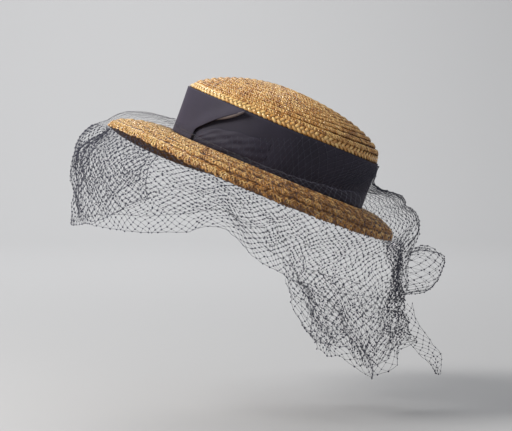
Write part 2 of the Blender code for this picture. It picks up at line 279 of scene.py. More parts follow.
class Wire:
    """A socket's number in shader maths, on which the usual operators add Math nodes."""

    def __init__(self, paint: "Paint", socket: bpy.types.NodeSocket) -> None:
        """Keep the material and the socket that holds the number."""
        self.paint, self.socket = paint, socket

    def math(self, operation: str, first: object, second: object = None) -> "Wire":
        """Add one Math node on one or two numbers and give what comes out of it."""
        values = {0: first} if second is None else {0: first, 1: second}
        return self.paint.number("ShaderNodeMath", {"operation": operation}, values)

    def __add__(self, other: object) -> "Wire":
        """Sum."""
        return self.math("ADD", self, other)

    def __sub__(self, other: object) -> "Wire":
        """Difference."""
        return self.math("SUBTRACT", self, other)

    def __rsub__(self, other: object) -> "Wire":
        """Difference from a plain number."""
        return self.math("SUBTRACT", other, self)

    def __mul__(self, other: object) -> "Wire":
        """Product."""
        return self.math("MULTIPLY", self, other)

    def __mod__(self, other: object) -> "Wire":
        """Remainder, always positive."""
        return self.math("FLOORED_MODULO", self, other)

    def __abs__(self) -> "Wire":
        """Size without its sign."""
        return self.math("ABSOLUTE", self)

    __radd__ = __add__
    __rmul__ = __mul__

    def sine(self) -> "Wire":
        """Sine of an angle in radians."""
        return self.math("SINE", self)


class Paint:
    """One material under construction."""

    def __init__(self, name: str) -> None:
        """Start a material with its Principled shader and the object's own coordinates.

        Args:
            name: The material's name.
        """
        self.material = bpy.data.materials.new(name)
        self.material.use_nodes = True
        self.tree = self.material.node_tree
        self.shader = self.tree.nodes["Principled BSDF"]
        self.place = self.node("ShaderNodeTexCoord").outputs["Object"]

    def put(self, socket: bpy.types.NodeSocket, value: object) -> None:
        """Link a socket or set its value.

        Args:
            socket: The socket that is fed.
            value: A wire or another socket to link, or else a plain value.
        """
        value = value.socket if isinstance(value, Wire) else value
        if isinstance(value, bpy.types.NodeSocket):
            self.tree.links.new(value, socket)
        else:
            socket.default_value = value

    def node(self, kind: str, settings: dict | None = None,
             values: dict | None = None) -> bpy.types.Node:
        """Add a node.

        Args:
            kind: Blender's name for the node's type.
            settings: Its own properties, set first; "stops" fills a ramp.
            values: Numbers, colours or links for its sockets, by name or place.

        Returns:
            The new node.
        """
        made = self.tree.nodes.new(kind)
        for key, value in (settings or {}).items():
            if key == "stops":
                while len(made.color_ramp.elements) < len(value):
                    made.color_ramp.elements.new(0.5)
                for element, (place, colour) in zip(made.color_ramp.elements, value):
                    element.position, element.color = place, (*colour, 1.0)
            else:
                setattr(made, key, value)
        for key, value in (values or {}).items():
            self.put(made.inputs[key], value)
        return made

    def number(self, kind: str, settings: dict | None = None, values: dict | None = None,
               out: str | int = 0) -> Wire:
        """Add a node, as node does, and give one of its outputs as a wire."""
        return Wire(self, self.node(kind, settings, values).outputs[out])

    def noise(self, scale: float, detail: float) -> Wire:
        """Noise from 0 to 1 over the object's own coordinates, with octaves of finer noise."""
        values = {"Vector": self.place, "Scale": scale, "Detail": detail}
        return self.number("ShaderNodeTexNoise", None, values)

    def tone(self) -> Wire:
        """The mesh's attribute "tone"."""
        return self.number("ShaderNodeAttribute", {"attribute_name": "tone"}, None, "Fac")

    def uv(self) -> tuple:
        """Both numbers of the UV map.

        Returns:
            The wires of u and v.
        """
        spot = self.node("ShaderNodeUVMap", {"uv_map": "UVMap"}).outputs[0]
        parts = self.node("ShaderNodeSeparateXYZ", None, {0: spot}).outputs
        return Wire(self, parts[0]), Wire(self, parts[1])

    def ramp(self, value: Wire, *stops: tuple) -> bpy.types.NodeSocket:
        """Colour that a ramp of (place, colour) stops gives for a number."""
        return self.node("ShaderNodeValToRGB", {"stops": stops}, {"Fac": value}).outputs[0]

    def mix(self, share: object, first: object, second: object) -> bpy.types.NodeSocket:
        """Colour between two colours.

        Args:
            share: Share of the second one.
            first: A colour or a socket.
            second: Another.

        Returns:
            The mixed colour's socket.
        """
        made = self.node("ShaderNodeMix", {"data_type": "RGBA"}, {0: share})
        for place, colour in ((6, first), (7, second)):
            self.put(made.inputs[place], (*colour, 1.0) if isinstance(colour, tuple) else colour)
        return made.outputs[2]

    def surface(self, **values: object) -> None:
        """Set or link the shader's own sockets; underscores stand for spaces."""
        for key, value in values.items():
            self.put(self.shader.inputs[key.replace("_", " ")], value)

    def bump(self, height: Wire, strength: float, depth: float) -> None:
        """Feed a height to the shader's normal; depth is the millimetres of a height of 1."""
        values = {"Strength": strength, "Distance": depth * MM, "Height": height}
        self.surface(Normal=self.node("ShaderNodeBump", None, values).outputs[0])


@dataclass(frozen=True)
class StrawFinish:
    """Lacquered straw: honey-gold splints over a brown ground."""

    pale: tuple = (0.98, 0.65, 0.25)
    gold: tuple = (0.60, 0.272, 0.060)
    brown: tuple = (0.19, 0.075, 0.018)
    # deepest brown, the painted shade in the hollows of the ground
    deep: tuple = (0.05, 0.020, 0.008)
    roughness: float = 0.27
    coat: float = 0.75
    coat_roughness: float = 0.10
    patch_scale: float = 55.0
    speck_scale: float = 420.0
    ground_scale: float = 240.0
    herringbone: float = 1.6

    def splints(self, name: str, lift: float) -> bpy.types.Material:
        """Finish of the plaited splints.

        Args:
            name: The material's name.
            lift: How much paler than usual.

        Returns:
            The material, in which the attribute "tone" runs from brown at 0 to pale at 1.
        """
        paint = Paint(name)
        tone = paint.tone()
        patch, speck = paint.noise(self.patch_scale, 2.0), paint.noise(self.speck_scale, 1.0)
        colour = paint.ramp(tone * 0.95 + patch * 0.5 + speck * 0.7 + (lift - 0.62),
                            (0.0, self.brown), (0.42, self.gold), (1.0, self.pale))
        paint.surface(Base_Color=colour, Roughness=speck * 0.3 + (self.roughness - 0.12),
                      Coat_Weight=self.coat, Coat_Roughness=self.coat_roughness)
        paint.bump(speck, 0.6, 0.3)
        return paint.material

    def ground(self) -> bpy.types.Material:
        """Finish of the wall between and inside the plaits: rows of herringbone on its UV map.

        Each row is one high in v; u runs along it with one splint to a unit.  The height is a
        saw that leans one way on one half of the row and the other way on the other half.  The
        colour follows the height down to the deepest brown in the hollows: painted shade in the
        gaps between the splints.

        Returns:
            The material.
        """
        paint = Paint("straw_ground")
        u, v = paint.uv()
        across = abs((v % 1.0) * 2.0 - 1.0)
        splint = abs(((u + across * self.herringbone) % 1.0) * 2.0 - 1.0)
        height = splint * 0.6 - across * across * across * 0.9
        # painted shade: darker where the height is low, in the hollows
        colour = paint.ramp(height * 0.45 + paint.noise(self.ground_scale, 3.0) * 0.7,
                            (0.0, self.deep), (0.6, self.brown), (1.0, self.gold))
        paint.surface(Base_Color=colour, Roughness=self.roughness + 0.2)
        paint.bump(height, 0.9, 1.0)
        return paint.material


@dataclass(frozen=True)
class RibbonFinish:
    """Dark navy-violet ribbon with fine upright ribs, and a painted highlight in a pale colour
    where its tone is above 0.
    """

    dark: tuple = (0.0135, 0.0115, 0.0195)
    light: tuple = (0.044, 0.036, 0.062)
    # pale colour of the painted highlight along the flap's curled edge
    wear_and_highlight: tuple = (0.24, 0.20, 0.19)
    sheen: tuple = (0.55, 0.5, 0.75, 1.0)
    roughness: float = 0.66
    cloud_scale: float = 38.0

    def material(self, name: str, lift: float) -> bpy.types.Material:
        """The ribbon's finish: a sine of u for the ribs and noise for the clouds.

        Args:
            name: The material's name.
            lift: How much paler than usual.

        Returns:
            The material; u of its UV map counts ribs.
        """
        paint = Paint(name)
        rib = (paint.uv()[0] * TAU).sine() * 0.5 + 0.5
        cloud = paint.noise(self.cloud_scale, 4.0)
        cloth = paint.mix(cloud * 0.7 + rib * 0.2 + lift, self.dark, self.light)
        # where the tone is above 0 the cloth goes over to the pale colour: a painted highlight
        paint.surface(Base_Color=paint.mix(paint.tone(), cloth, self.wear_and_highlight),
                      Roughness=self.roughness, Specular_IOR_Level=0.35,
                      Sheen_Weight=0.10, Sheen_Roughness=0.5, Sheen_Tint=self.sheen)
        paint.bump(rib * 0.3 + cloud * 0.9, 0.35, 0.7)
        return paint.material


@dataclass(frozen=True)
class NetFinish:
    """Matte dark navy thread."""

    thread: tuple = (0.020, 0.022, 0.045)
    # paler colour of worn thread, mixed in by clouds of noise
    wear_and_highlight: tuple = (0.060, 0.062, 0.105)
    roughness: float = 0.72
    cloud_scale: float = 90.0
    twist_scale: float = 1500.0

    def material(self) -> bpy.types.Material:
        """The thread's finish, paler in clouds of noise.

        Returns:
            The material.
        """
        paint = Paint("net_thread")
        cloud, twist = paint.noise(self.cloud_scale, 3.0), paint.noise(self.twist_scale, 1.0)
        paint.surface(Base_Color=paint.mix(cloud * 1.3 - 0.3, self.thread, self.wear_and_highlight),
                      Roughness=twist * 0.2 + (self.roughness - 0.1), Sheen_Weight=0.2)
        paint.bump(twist, 0.4, 0.15)
        return paint.material


@dataclass(frozen=True)
class HatForm:
    """Driving sizes of the hat, in millimetres, the same as those of the solids."""

    tilt: float = math.radians(22.5)
    half_length: float = 100.3
    half_width: float = 84.7
    wall_top: float = 48.0
    crown_height: float = 82.4
    straw: float = 2.6
    brim_half_length: float = 152.0
    brim_half_width: float = 136.0
    brim_forward: float = -11.0
    ribbon: float = 1.0
    ribbon_top: float = 47.3
    gap: float = 0.3
    wall_shift: float = 0.1
    wall_lean: float = -0.038
    # outward share, share of the droop on the left, the same on the far side
    brim_section: tuple = (
        (0.00, 0.00, 0.00), (0.22, -0.07, 0.04), (0.44, -0.08, 0.18), (0.64, 0.04, 0.34),
        (0.81, 0.22, 0.51), (0.93, 0.47, 0.67), (1.00, 0.80, 0.86), (0.995, 1.00, 1.00))
    # angle, droop
    brim_droop: tuple = (
        (0, 17.0), (30, 18.0), (60, 21.0), (90, 27.0), (115, 34.0), (135, 33.0), (155, 28.0),
        (175, 21.5), (195, 19.0), (225, 17.0), (245, 18.7), (270, 19.5), (300, 19.3), (330, 18.5))

    @property
    def ribbon_out(self) -> float:
        """Outside of the ribbon band beyond the straw."""
        return self.gap + self.ribbon

    @property
    def layer_out(self) -> float:
        """Middle of the ribbon layer over the band, beyond the straw."""
        return self.ribbon_out + 0.5 * self.ribbon + 2.0 * self.gap

    def place(self, u: np.ndarray, v: np.ndarray, w: np.ndarray) -> np.ndarray:
        """Turn the hat's own coordinates into world ones, by the tilt about the side axis."""
        return np.stack([u * math.cos(self.tilt) + w * math.sin(self.tilt), v + 0.0 * u,
                         w * math.cos(self.tilt) - u * math.sin(self.tilt)], axis=-1)

    def wall(self, angle: np.ndarray, w: np.ndarray | float,
             out: np.ndarray | float = 0.0) -> tuple:
        """The hat's u and v on the crown's oval wall, whose middle shifts in step with w."""
        a = np.radians(angle)
        return (self.wall_shift + self.wall_lean * w + (self.half_length + out) * np.cos(a),
                (self.half_width + out) * np.sin(a))

    def brim_edge(self, angle: np.ndarray) -> tuple:
        """The brim's lower edge: an oval whose height is minus the droop at that angle.

        Args:
            angle: Angles in degrees.

        Returns:
            The hat's own u, v and w.
        """
        a = np.radians(angle)
        u, v = self.brim_half_length * np.cos(a), self.brim_half_width * np.sin(a)
        return self.brim_forward + u, v, -spline(self.brim_droop, 1, np.mod(angle, 360.0), True)

    def left_share(self, angle: np.ndarray) -> np.ndarray:
        """How much an angle belongs to the near, left side: 1 at 270 and 0 at 90."""
        return 0.5 - 0.5 * np.sin(np.radians(angle))

    def beyond_edge(self, angle: np.ndarray, far: np.ndarray, z: np.ndarray) -> np.ndarray:
        """Points level with z, this far outside the brim's edge and square to its outline.

        Args:
            angle: Angles in degrees.
            far: Distances outside the edge.
            z: World heights.

        Returns:
            World points.
        """
        a = np.radians(angle)
        normal = unit(np.stack([np.cos(a) / (self.brim_half_length * math.cos(self.tilt)),
                                np.sin(a) / self.brim_half_width, 0.0 * a], axis=-1))
        edge = self.place(*self.brim_edge(angle))
        return np.stack([edge[..., 0] + far * normal[..., 0], edge[..., 1] + far * normal[..., 1],
                         z], axis=-1)


def splint_tubes(centre: np.ndarray, up: np.ndarray, width: float, thick: float) -> tuple:
    """Flat closed splints along several closed lines.

    Four corners round each point: two at half the width to its sides, two at half the
    thickness over and under it.

    Args:
        centre: Points, one row a splint.
        up: Directions out of the surface, one a point.
        width: The splints' width.
        thick: Their thickness.

    Returns:
        Points and faces.
    """
    lines, count = centre.shape[:2]
    ahead = unit(np.roll(centre, -1, axis=1) - np.roll(centre, 1, axis=1))
    flat = unit(np.cross(up, ahead))
    out = unit(np.cross(ahead, flat))
    ring = np.stack([centre + flat * 0.5 * width, centre + out * 0.5 * thick,
                     centre - flat * 0.5 * width, centre - out * 0.5 * thick], axis=2)
    base = np.arange(lines)[:, None, None] * count * 4
    i = np.arange(count)[None, :, None] * 4
    j = (np.arange(count)[None, :, None] + 1) % count * 4
    k, m = np.arange(4)[None, None, :], (np.arange(4)[None, None, :] + 1) % 4
    corners = np.broadcast_arrays(base + i + k, base + j + k, base + j + m, base + i + m)
    return ring.reshape(-1, 3), np.stack(corners, -1).reshape(-1, 4)


@dataclass
class Plait:
    """A row of straw plait: flat splints that cross, and curled loops along its lower edge."""

    splints: int = 5
    half_width: float = 3.0
    height: float = 0.65
    rise: float = 0.9
    lap: float = 0.55
    period: float = 13.0
    width: float = 2.1
    thick: float = 0.7
    step: float = 1.15
    lift: float = 0.0
    # painted highlight: how much paler the splints are towards the key lamp, and the angle round
    # the hat where they are palest, at the left front
    lit_side_paling: float = 0.10
    lit_side_angle: float = math.radians(205.0)
    loose: float = 0.25
    row_turn: float = 2.4
    # length of a patch of one tone, then the least tone, its spread from patch to patch, its
    # swing with the crossing (painted shade where a splint passes under, painted light where it
    # lies over), its rise on the crest (painted light on the row's raised middle, painted shade
    # at its edges), and the change from row to row
    tone_run: float = 8.0
    tones: tuple = (0.08, 0.62, 0.18, 0.2, 0.05)
    loop_pitch: float = 3.3
    loop_steps: int = 8
    loop_size: float = 1.95
    loop_slant: float = 0.87
    loop_low: float = 0.35
    loop_width: float = 1.05
    loop_thick: float = 0.62
    loop_rise: float = 0.55
    loop_swing: float = 0.45
    # least and most tone of a loop, and how it swings round the loop: painted light where the
    # curl lies high and painted shade where it passes under itself
    loop_tones: tuple = (0.2, 1.5, 0.25)
    braid_seed: int = 100
    loop_seed: int = 700

    def follow(self, path: np.ndarray, side: np.ndarray, normal: np.ndarray, count: int) -> tuple:
        """Read a closed line and its directions at even steps.

        Args:
            path: Points of the line.
            side: Directions across the row.
            normal: Directions out of the surface.
            count: How many steps.

        Returns:
            Points, side and normal directions at the steps.
        """
        at = run(closed_steps(path))
        want = np.arange(count) * at[-1] / count
        fields = (np.concatenate([field, field[:1]]) for field in (path, side, normal))
        middle, across, up = (np.stack([np.interp(want, at, field[:, k]) for k in range(3)], 1)
                              for field in fields)
        return middle, unit(across), unit(up)

    def paler(self, count: int) -> np.ndarray:
        """How much paler each of count steps round a row is: its lift, and a painted highlight
        that is most at the left front, where the key lamp falls.
        """
        ahead = np.cos(TAU * np.arange(count) / count - self.lit_side_angle)
        return self.lift + self.lit_side_paling * np.clip(ahead, 0.0, 1.0) ** 2

    def braid(self, path: np.ndarray, side: np.ndarray, normal: np.ndarray, number: int) -> tuple:
        """Crossing splints along one closed row.

        A splint swings from side to side as the sine of its phase and rises as the sine of
        twice its phase, so that all that go one way pass over on one half of the row and
        under on the other.  The row is higher in its middle and its lower edge lies over the
        next row.  Two slow sines loosen each splint.

        Args:
            path: Points along the middle of the row, closed.
            side: Directions across the row, of length one.
            normal: Directions out of the surface.
            number: The row's number, which shifts its pattern and tones.

        Returns:
            Points, faces and tones.
        """
        length = float(closed_steps(path).sum())
        count = max(24, int(round(length / self.step)))
        turns = max(2, int(round(length / self.period)))
        middle, across, up = self.follow(path, side, normal, count)
        lane, at = np.arange(self.splints)[:, None], np.arange(count)
        rng = np.random.default_rng(self.braid_seed + number)
        phase = TAU * (at[None] * turns / count + lane / self.splints) + number * self.row_turn
        slack = (np.sin(phase * 1.7 + rng.uniform(0.0, 6.0, (self.splints, 1)))
                 + np.sin(at[None] * 0.37 + rng.uniform(0.0, 6.0, (self.splints, 1))))
        seam = np.sin(np.pi * at / count) ** 0.2
        y = self.half_width * np.sin(phase) + self.loose * slack * seam
        z = (self.height * np.sin(2.0 * phase) + self.rise * np.cos(phase) ** 2
             - self.lap * np.sin(phase))
        centre = middle[None] + across[None] * y[..., None] + up[None] * z[..., None]
        points, faces = splint_tubes(centre, np.broadcast_to(up[None], centre.shape),
                                     self.width, self.thick)
        coarse = rng.uniform(0.0, 1.0, (self.splints, max(4, int(length / self.tone_run))))
        some = coarse.shape[1]
        where = np.linspace(0.0, some, count, endpoint=False).astype(int) % some
        # the tone follows the splints' height: painted shade where one passes under another and
        # at the row's edges, painted light where it lies high; the paling towards the key lamp is
        # painted light too
        least, spread, swing, crest, change = self.tones
        tone = (least + spread * coarse[:, where] + swing * np.sin(2.0 * phase)
                + crest * np.cos(phase) ** 2)
        tone = tone + self.paler(count) + rng.normal(0.0, change)
        return points, faces, np.repeat(tone[..., None], 4, axis=2).reshape(-1)

    def loops(self, path: np.ndarray, side: np.ndarray, normal: np.ndarray, number: int) -> tuple:
        """One curled splint along the lower edge of a row.

        It goes round in small circles while it moves along, as the sine and cosine of its
        turn, and so crosses itself in each loop.

        Args:
            path: Points along the middle of the row, closed.
            side: Directions across the row, of length one.
            normal: Directions out of the surface.
            number: The row's number, which shifts its tones.

        Returns:
            Points, faces and tones.
        """
        turns = max(8, int(round(float(closed_steps(path).sum()) / self.loop_pitch)))
        middle, across, up = self.follow(path, side, normal, turns * self.loop_steps)
        along_row = unit(np.cross(across, up))
        rng = np.random.default_rng(self.loop_seed + number)
        size = np.repeat(rng.uniform(0.8, 1.2, turns), self.loop_steps)
        turn = TAU * np.arange(len(middle)) / self.loop_steps
        shift = np.repeat(rng.normal(0.0, self.loose, turns), self.loop_steps)
        y = shift - self.half_width * self.loop_low + self.loop_size * size * np.cos(turn)
        x = self.loop_slant * self.loop_size * size * np.sin(turn)
        z = self.rise + self.loop_rise + self.loop_swing * np.sin(turn + 0.9)
        centre = (middle + along_row * x[:, None] + across * y[:, None] + up * z[:, None])[None]
        points, faces = splint_tubes(centre, up[None], self.loop_width, self.loop_thick)
        # the swing round the loop is painted light and shade: paler where the curl lies high,
        # darker where it passes under itself
        least, most, swing = self.loop_tones
        tone = np.repeat(rng.uniform(least, most, turns), self.loop_steps) + swing * np.cos(turn)
        return points, faces, np.repeat(tone + self.paler(len(turn)), 4)

    def rows(self, name: str, surface: np.ndarray, shares: list, finish: bpy.types.Material,
             first: int = 0, looped: bool = False) -> bpy.types.Object:
        """Rows of plait, or of their loops, round a surface.

        Args:
            name: The piece's name.
            surface: Fine closed grid, its sections running along the first axis.
            shares: Where each row's middle lies on the sections, from 0 to 1.
            finish: The splints' material.
            first: Number of the first row.
            looped: Make the loops and not the crossing splints.

        Returns:
            The piece.
        """
        made = []
        for number, share in enumerate(shares, first):
            share = np.broadcast_to(share, surface.shape[1])[None]
            path, ahead, back = (along(surface, np.clip(share + d, 0.0, 1.0))[0]
                                 for d in (0.0, 0.01, -0.01))
            side = unit(ahead - back)
            tangent = unit(np.roll(path, -1, axis=0) - np.roll(path, 1, axis=0))
            normal = unit(np.cross(tangent, side))
            made.append((self.loops if looped else self.braid)(path, side, normal, number))
        return make_piece(name, *join(made), finish, np.concatenate([body[2] for body in made]))


def straw_wall(node: str, grid: np.ndarray, finish: StrawFinish, around: float,
               high: float) -> None:
    """Thin straw wall under the plaits, which takes a solid's place.

    Args:
        node: The solid.
        grid: Middle of the wall, closed round the hat.
        finish: The straw.
        around: Splints round it.
        high: Rows of plait up it.
    """
    rows, columns = grid.shape[:2]
    wall = make_piece(f"{node}_wall", grid, grid_faces(rows, columns, True), finish.ground(),
                      uv=grid_uv(rows, columns, True, around, high))
    thicken(wall, STRAW_WALL)
    stand_for(node)


@dataclass
class Crown:
    """The domed crown: a thin wall with rows of plait on it."""

    form: HatForm
    finish: StrawFinish
    columns: int = 288
    fine_rows: int = 120
    pitch: float = 7.4
    splint_pitch: float = 2.6
    first_row: float = 3.7
    inset: float = 1.3
    wall_heights: tuple = (8.0, 20.0, 32.0, 42.0, 47.6)
    dome_foot: float = 2.0
    dome_flare: float = 0.6
    dome_middle: tuple = (-2.6, -5.4)
    dome_power: float = 0.66
    power_swing: float = 0.17
    # first and last ring in degrees up the dome, their count, and the ring near its top
    dome_rings: tuple = (6.0, 88.0, 34)
    last_ring: float = 89.3

    def surface(self) -> np.ndarray:
        """Middle of the straw wall, from the base to just short of the dome's top.

        The wall is a leaning oval.  The dome shrinks that oval, and rises by one minus the
        share squared, to a power that is larger at the front than at the back.

        Returns:
            Grid of points, one row a height.
        """
        form = self.form
        angle = turn_angles(self.columns)
        a = np.radians(angle)
        rings = []
        for w in (-form.straw, *self.wall_heights):
            u, v = form.wall(angle, w, -self.inset)
            rings.append(form.place(u, v, w))
        power = self.dome_power - self.power_swing * np.cos(a)
        foot = form.wall_top + self.dome_foot
        rise = form.crown_height - form.wall_top - self.dome_foot
        high = np.concatenate([np.linspace(*self.dome_rings), [self.last_ring]])
        for share in np.cos(np.radians(high)):
            middle = self.dome_middle[0] + self.dome_middle[1] * (1.0 - share) ** 1.2
            u = middle + (form.half_length + self.dome_flare - self.inset) * share * np.cos(a)
            v = (form.half_width + self.dome_flare - self.inset) * share * np.sin(a)
            w = foot + rise * (1.0 - share * share) ** power - self.inset
            rings.append(form.place(u, v, w))
        return np.array(rings)

    def shares_at(self, grid: np.ndarray, height: float) -> np.ndarray:
        """Share of each section's length at which it reaches a height above the brim.

        Args:
            grid: The crown's fine grid.
            height: The height.

        Returns:
            One share a section.
        """
        tilt = self.form.tilt
        w = grid[..., 0] * math.sin(tilt) + grid[..., 2] * math.cos(tilt)
        step = steps(grid)
        at = run(step) / step.sum(axis=0)
        return np.array([np.interp(height, w[:, c], at[:, c]) for c in range(grid.shape[1])])

    def build(self) -> None:
        """Make the wall, the bold first plait and the rows of plait over the dome."""
        grid = resample(self.surface(), self.fine_rows, each=True)
        length, around = float(steps(grid[:, 0]).sum()), float(steps(grid[0]).sum())
        straw_wall("crown", grid, self.finish, round(around / self.splint_pitch),
                   length / self.pitch)
        start = self.shares_at(grid, self.form.ribbon_top + self.first_row)
        count = int(length * (1.0 - start.mean()) / self.pitch)
        shares = [start + (1.0 - start) * (i + 1.0) / (count + 0.5) for i in range(count)]
        # the bold plait gets a strong painted highlight at the left front, towards the key lamp
        bold = Plait(splints=3, height=0.5, rise=0.4, lap=0.0, period=15.5, width=3.6,
                     lift=-0.1, lit_side_paling=0.4, loose=0.1)
        finish = self.finish.splints("straw_bold", 0.06)
        bold.rows("crown_first_plait", grid, [start], finish)
        plain, finish = Plait(lift=-0.08), self.finish.splints("straw_crown", -0.06)
        for name, looped in (("plaits", False), ("loops", True)):
            plain.rows(f"crown_{name}", grid, shares, finish, 3, looped)


@dataclass
class Brim:
    """The brim: a thin wall with rows of plait that show on both faces."""

    form: HatForm
    finish: StrawFinish
    columns: int = 360
    fine_rows: int = 60
    row_count: int = 7
    start: float = 1.2
    splints_around: float = 330.0
    inset: float = 1.3
    # outward share from which the wall's middle draws in from the turned-down edge, over how
    # much of it, and how much of the inset is lost there
    turned: float = 0.9
    turned_reach: float = 0.1
    turned_loss: float = 0.8

    def surface(self) -> np.ndarray:
        """Middle of the straw, from the crown to the turned-down edge.

        Straight from the crown's oval to the brim's by the outward share, lowered by the
        droop times its share, which goes over from the left's table to the far side's.

        Returns:
            Grid of points, one row an outward share.
        """
        form = self.form
        angle = turn_angles(self.columns)
        a = np.radians(angle)
        u0, v0 = form.wall(angle, 0.0, self.start)
        u1, v1, w1 = form.brim_edge(angle)
        left = form.left_share(angle)
        rings = []
        for out, near, far in form.brim_section:
            past = max(0.0, out - self.turned)
            pull = self.inset * past / self.turned_reach
            u = u0 + (u1 - u0) * out - pull * np.cos(a)
            v = v0 + (v1 - v0) * out - pull * np.sin(a)
            drop = w1 * (near * left + far * (1.0 - left))
            under = self.inset * (1.0 - past / self.turned_reach * self.turned_loss)
            rings.append(form.place(u, v, drop - under))
        return np.array(rings)

    def build(self) -> None:
        """Make the wall and the plait rows, in an outer and an inner half."""
        grid = resample(self.surface(), self.fine_rows, each=True)[::-1]
        straw_wall("brim", grid, self.finish, self.splints_around, self.row_count)
        # the brim's rows get a strong painted highlight at the left front, towards the key lamp
        plain = Plait(half_width=3.5, height=0.6, rise=0.25, lap=0.2, period=13.5, lift=-0.32,
                      lit_side_paling=0.66, loose=0.8, loop_pitch=3.7, loop_steps=7, loop_size=2.2,
                      loop_low=0.2)
        shares = [(i + 0.55) / self.row_count for i in range(self.row_count)]
        finish = self.finish.splints("straw_brim", -0.08)
        half = self.row_count // 2
        for part, some, first in (("outer", shares[:half], 30), ("inner", shares[half:], 50)):
            for kind, looped in (("plaits", False), ("loops", True)):
                name = f"brim_{part}_{kind}"
                plain.rows(name, grid, some, finish, first, looped)


@dataclass
class Ribbon:
    """The ribbon band, the flap over its left front and the crumpled tuck."""

    form: HatForm
    finish: RibbonFinish
    thick: float = 0.7
    lip_thick: float = 0.5
    rib: float = 1.1
    # how far the flap's free edge stands off, and over how many degrees
    edge_lift: float = 3.4
    edge_reach: float = 8.0
    # lowest place of the edge's curled part and its height, in w
    lip_span: tuple = (28.5, 17.5)
    # height, angle
    flap_edge: tuple = ((0.8, 218.0), (13.0, 220.0), (20.0, 225.5), (30.0, 233.5), (40.0, 242.0),
                        (47.0, 248.0))
    # angle, low, high, puff
    tuck: tuple = ((222.5, 1.0, 9.0, 0.2), (229.0, 1.0, 17.0, 0.4), (238.0, 1.5, 22.0, 0.5),
                   (247.0, 4.0, 25.0, 0.5), (256.0, 5.0, 26.5, 0.6), (266.0, 2.0, 27.0, 0.2))

    def strip(self, name: str, grid: np.ndarray, ring: bool, finish: bpy.types.Material,
              node: str) -> None:
        """Make one length of ribbon from its middle surface.

        Args:
            name: The piece's name.
            grid: Its points.
            ring: It closes on itself.
            finish: Its material.
            node: The solid that it replaces.
        """
        rows, columns = grid.shape[:2]
        uv = grid_uv(rows, columns, ring, round(steps(grid[rows // 2]).sum() / self.rib), 1.0)
        piece = make_piece(name, grid, grid_faces(rows, columns, ring), finish, uv=uv)
        thicken(piece, self.thick)
        stand_for(node)

    def band(self) -> np.ndarray:
        """Band surface: the crown's wall moved out, with faint slack waves that lean.

        Returns:
            Grid of points.
        """
        angle = np.arange(360.0)
        a = np.radians(angle)
        rings = []
        for w in np.linspace(0.4, self.form.ribbon_top, 20):
            slack = 0.22 * np.sin(7.0 * a + 0.06 * w) + 0.16 * np.sin(15.0 * a - 0.11 * w + 1.0)
            out = (self.form.gap + 0.5 * self.form.ribbon
                   + slack * math.sin(math.pi * w / self.form.wall_top))
            u, v = self.form.wall(angle, w, out)
            rings.append(self.form.place(u, v, w + 0.35 * np.sin(5.0 * a)))
        return np.array(rings)

    def flap(self) -> np.ndarray:
        """Flap surface: outside the band, its free edge lifted along a diagonal.

        The lift is a bell of the distance to the edge, and larger higher up.

        Returns:
            Grid of points.
        """
        form = self.form
        rows = []
        for w in np.linspace(0.7, form.ribbon_top - 0.2, 36):
            end = float(spline(self.flap_edge, 1, np.array(w), free=True))
            angle = np.concatenate([np.linspace(148.0, 205.0, 50),
                                    np.linspace(205.0, end, 60)[1:]])
            rise = 0.35 + 0.65 * (w / form.ribbon_top)
            lift = self.edge_lift * np.exp(-((end - angle) / self.edge_reach) ** 2) * rise
            wave = 0.30 * np.sin(np.radians(angle * 9.0) + 0.07 * w)
            lift = lift + wave * np.clip((angle - 150.0) / 20.0, 0.0, 1.0)
            u, v = form.wall(angle, w, form.layer_out + lift)
            rows.append(form.place(u, v, w + 0.0 * angle))
        return np.array(rows)

    def lip(self) -> tuple:
        """Curled upper part of the flap's free edge: a roll that narrows to both ends.

        Returns:
            Grid of points, and how much painted highlight each point has.
        """
        form = self.form
        share = np.linspace(0.0, 1.0, 40)
        w = self.lip_span[0] + self.lip_span[1] * share
        end = spline(self.flap_edge, 1, w, free=True)
        radius = 0.35 + 1.35 * np.sin(math.pi * share) ** 0.8
        lift = self.edge_lift * (0.35 + 0.65 * w / form.ribbon_top)
        rows = []
        for turn in np.linspace(-0.4 * math.pi, 1.1 * math.pi, 14):
            angle = end + np.degrees(radius * math.sin(turn) / 90.0) - 0.2
            out = form.layer_out + lift - radius * (1.0 - math.cos(turn))
            u, v = form.wall(angle, w, out)
            rows.append(form.place(u, v, w - 0.8 * radius * math.sin(turn)))
        # painted highlight along the roll, strongest in the middle of its length
        wear_and_highlight = 0.3 + 0.7 * np.sin(math.pi * share)
        return np.array(rows), np.repeat(wear_and_highlight[None], len(rows), axis=0)

    def tuck_surface(self) -> np.ndarray:
        """Tuck surface: a puff between its lower and upper edge with leaning creases.

        Returns:
            Grid of points.
        """
        form = self.form
        angle = np.linspace(self.tuck[0][0], self.tuck[-1][0], 100)
        low, high, puff = (spline(self.tuck, c, angle, free=True) for c in (1, 2, 3))
        fade = 1.6 * np.clip((angle - 254.0) / 12.0, 0.0, 1.0) ** 2
        rows = []
        for share in np.linspace(0.0, 1.0, 36):
            w = low + (high - low) * share + 0.5 * np.sin(np.radians(angle * 31.0)) * share
            sunk = fade + 0.9 * max(0.0, 1.0 - share / 0.3) ** 2
            ridge = ((1.0 - abs(2.0 * share - 1.05) ** 6.0)
                     * (1.0 + 0.2 * np.sin(np.radians(angle * 24.0))))
            crease = (0.22 * np.sin(np.radians(angle * 13.0) + 11.0 * share)
                      + 0.2 * np.sin(np.radians(angle * 29.0) - 17.0 * share))
            height = puff * np.clip(ridge, 0.0, 2.0) + crease * math.sin(math.pi * share) - sunk
            u, v = form.wall(angle, w, form.layer_out + height)
            rows.append(form.place(u, v, w))
        return np.array(rows)

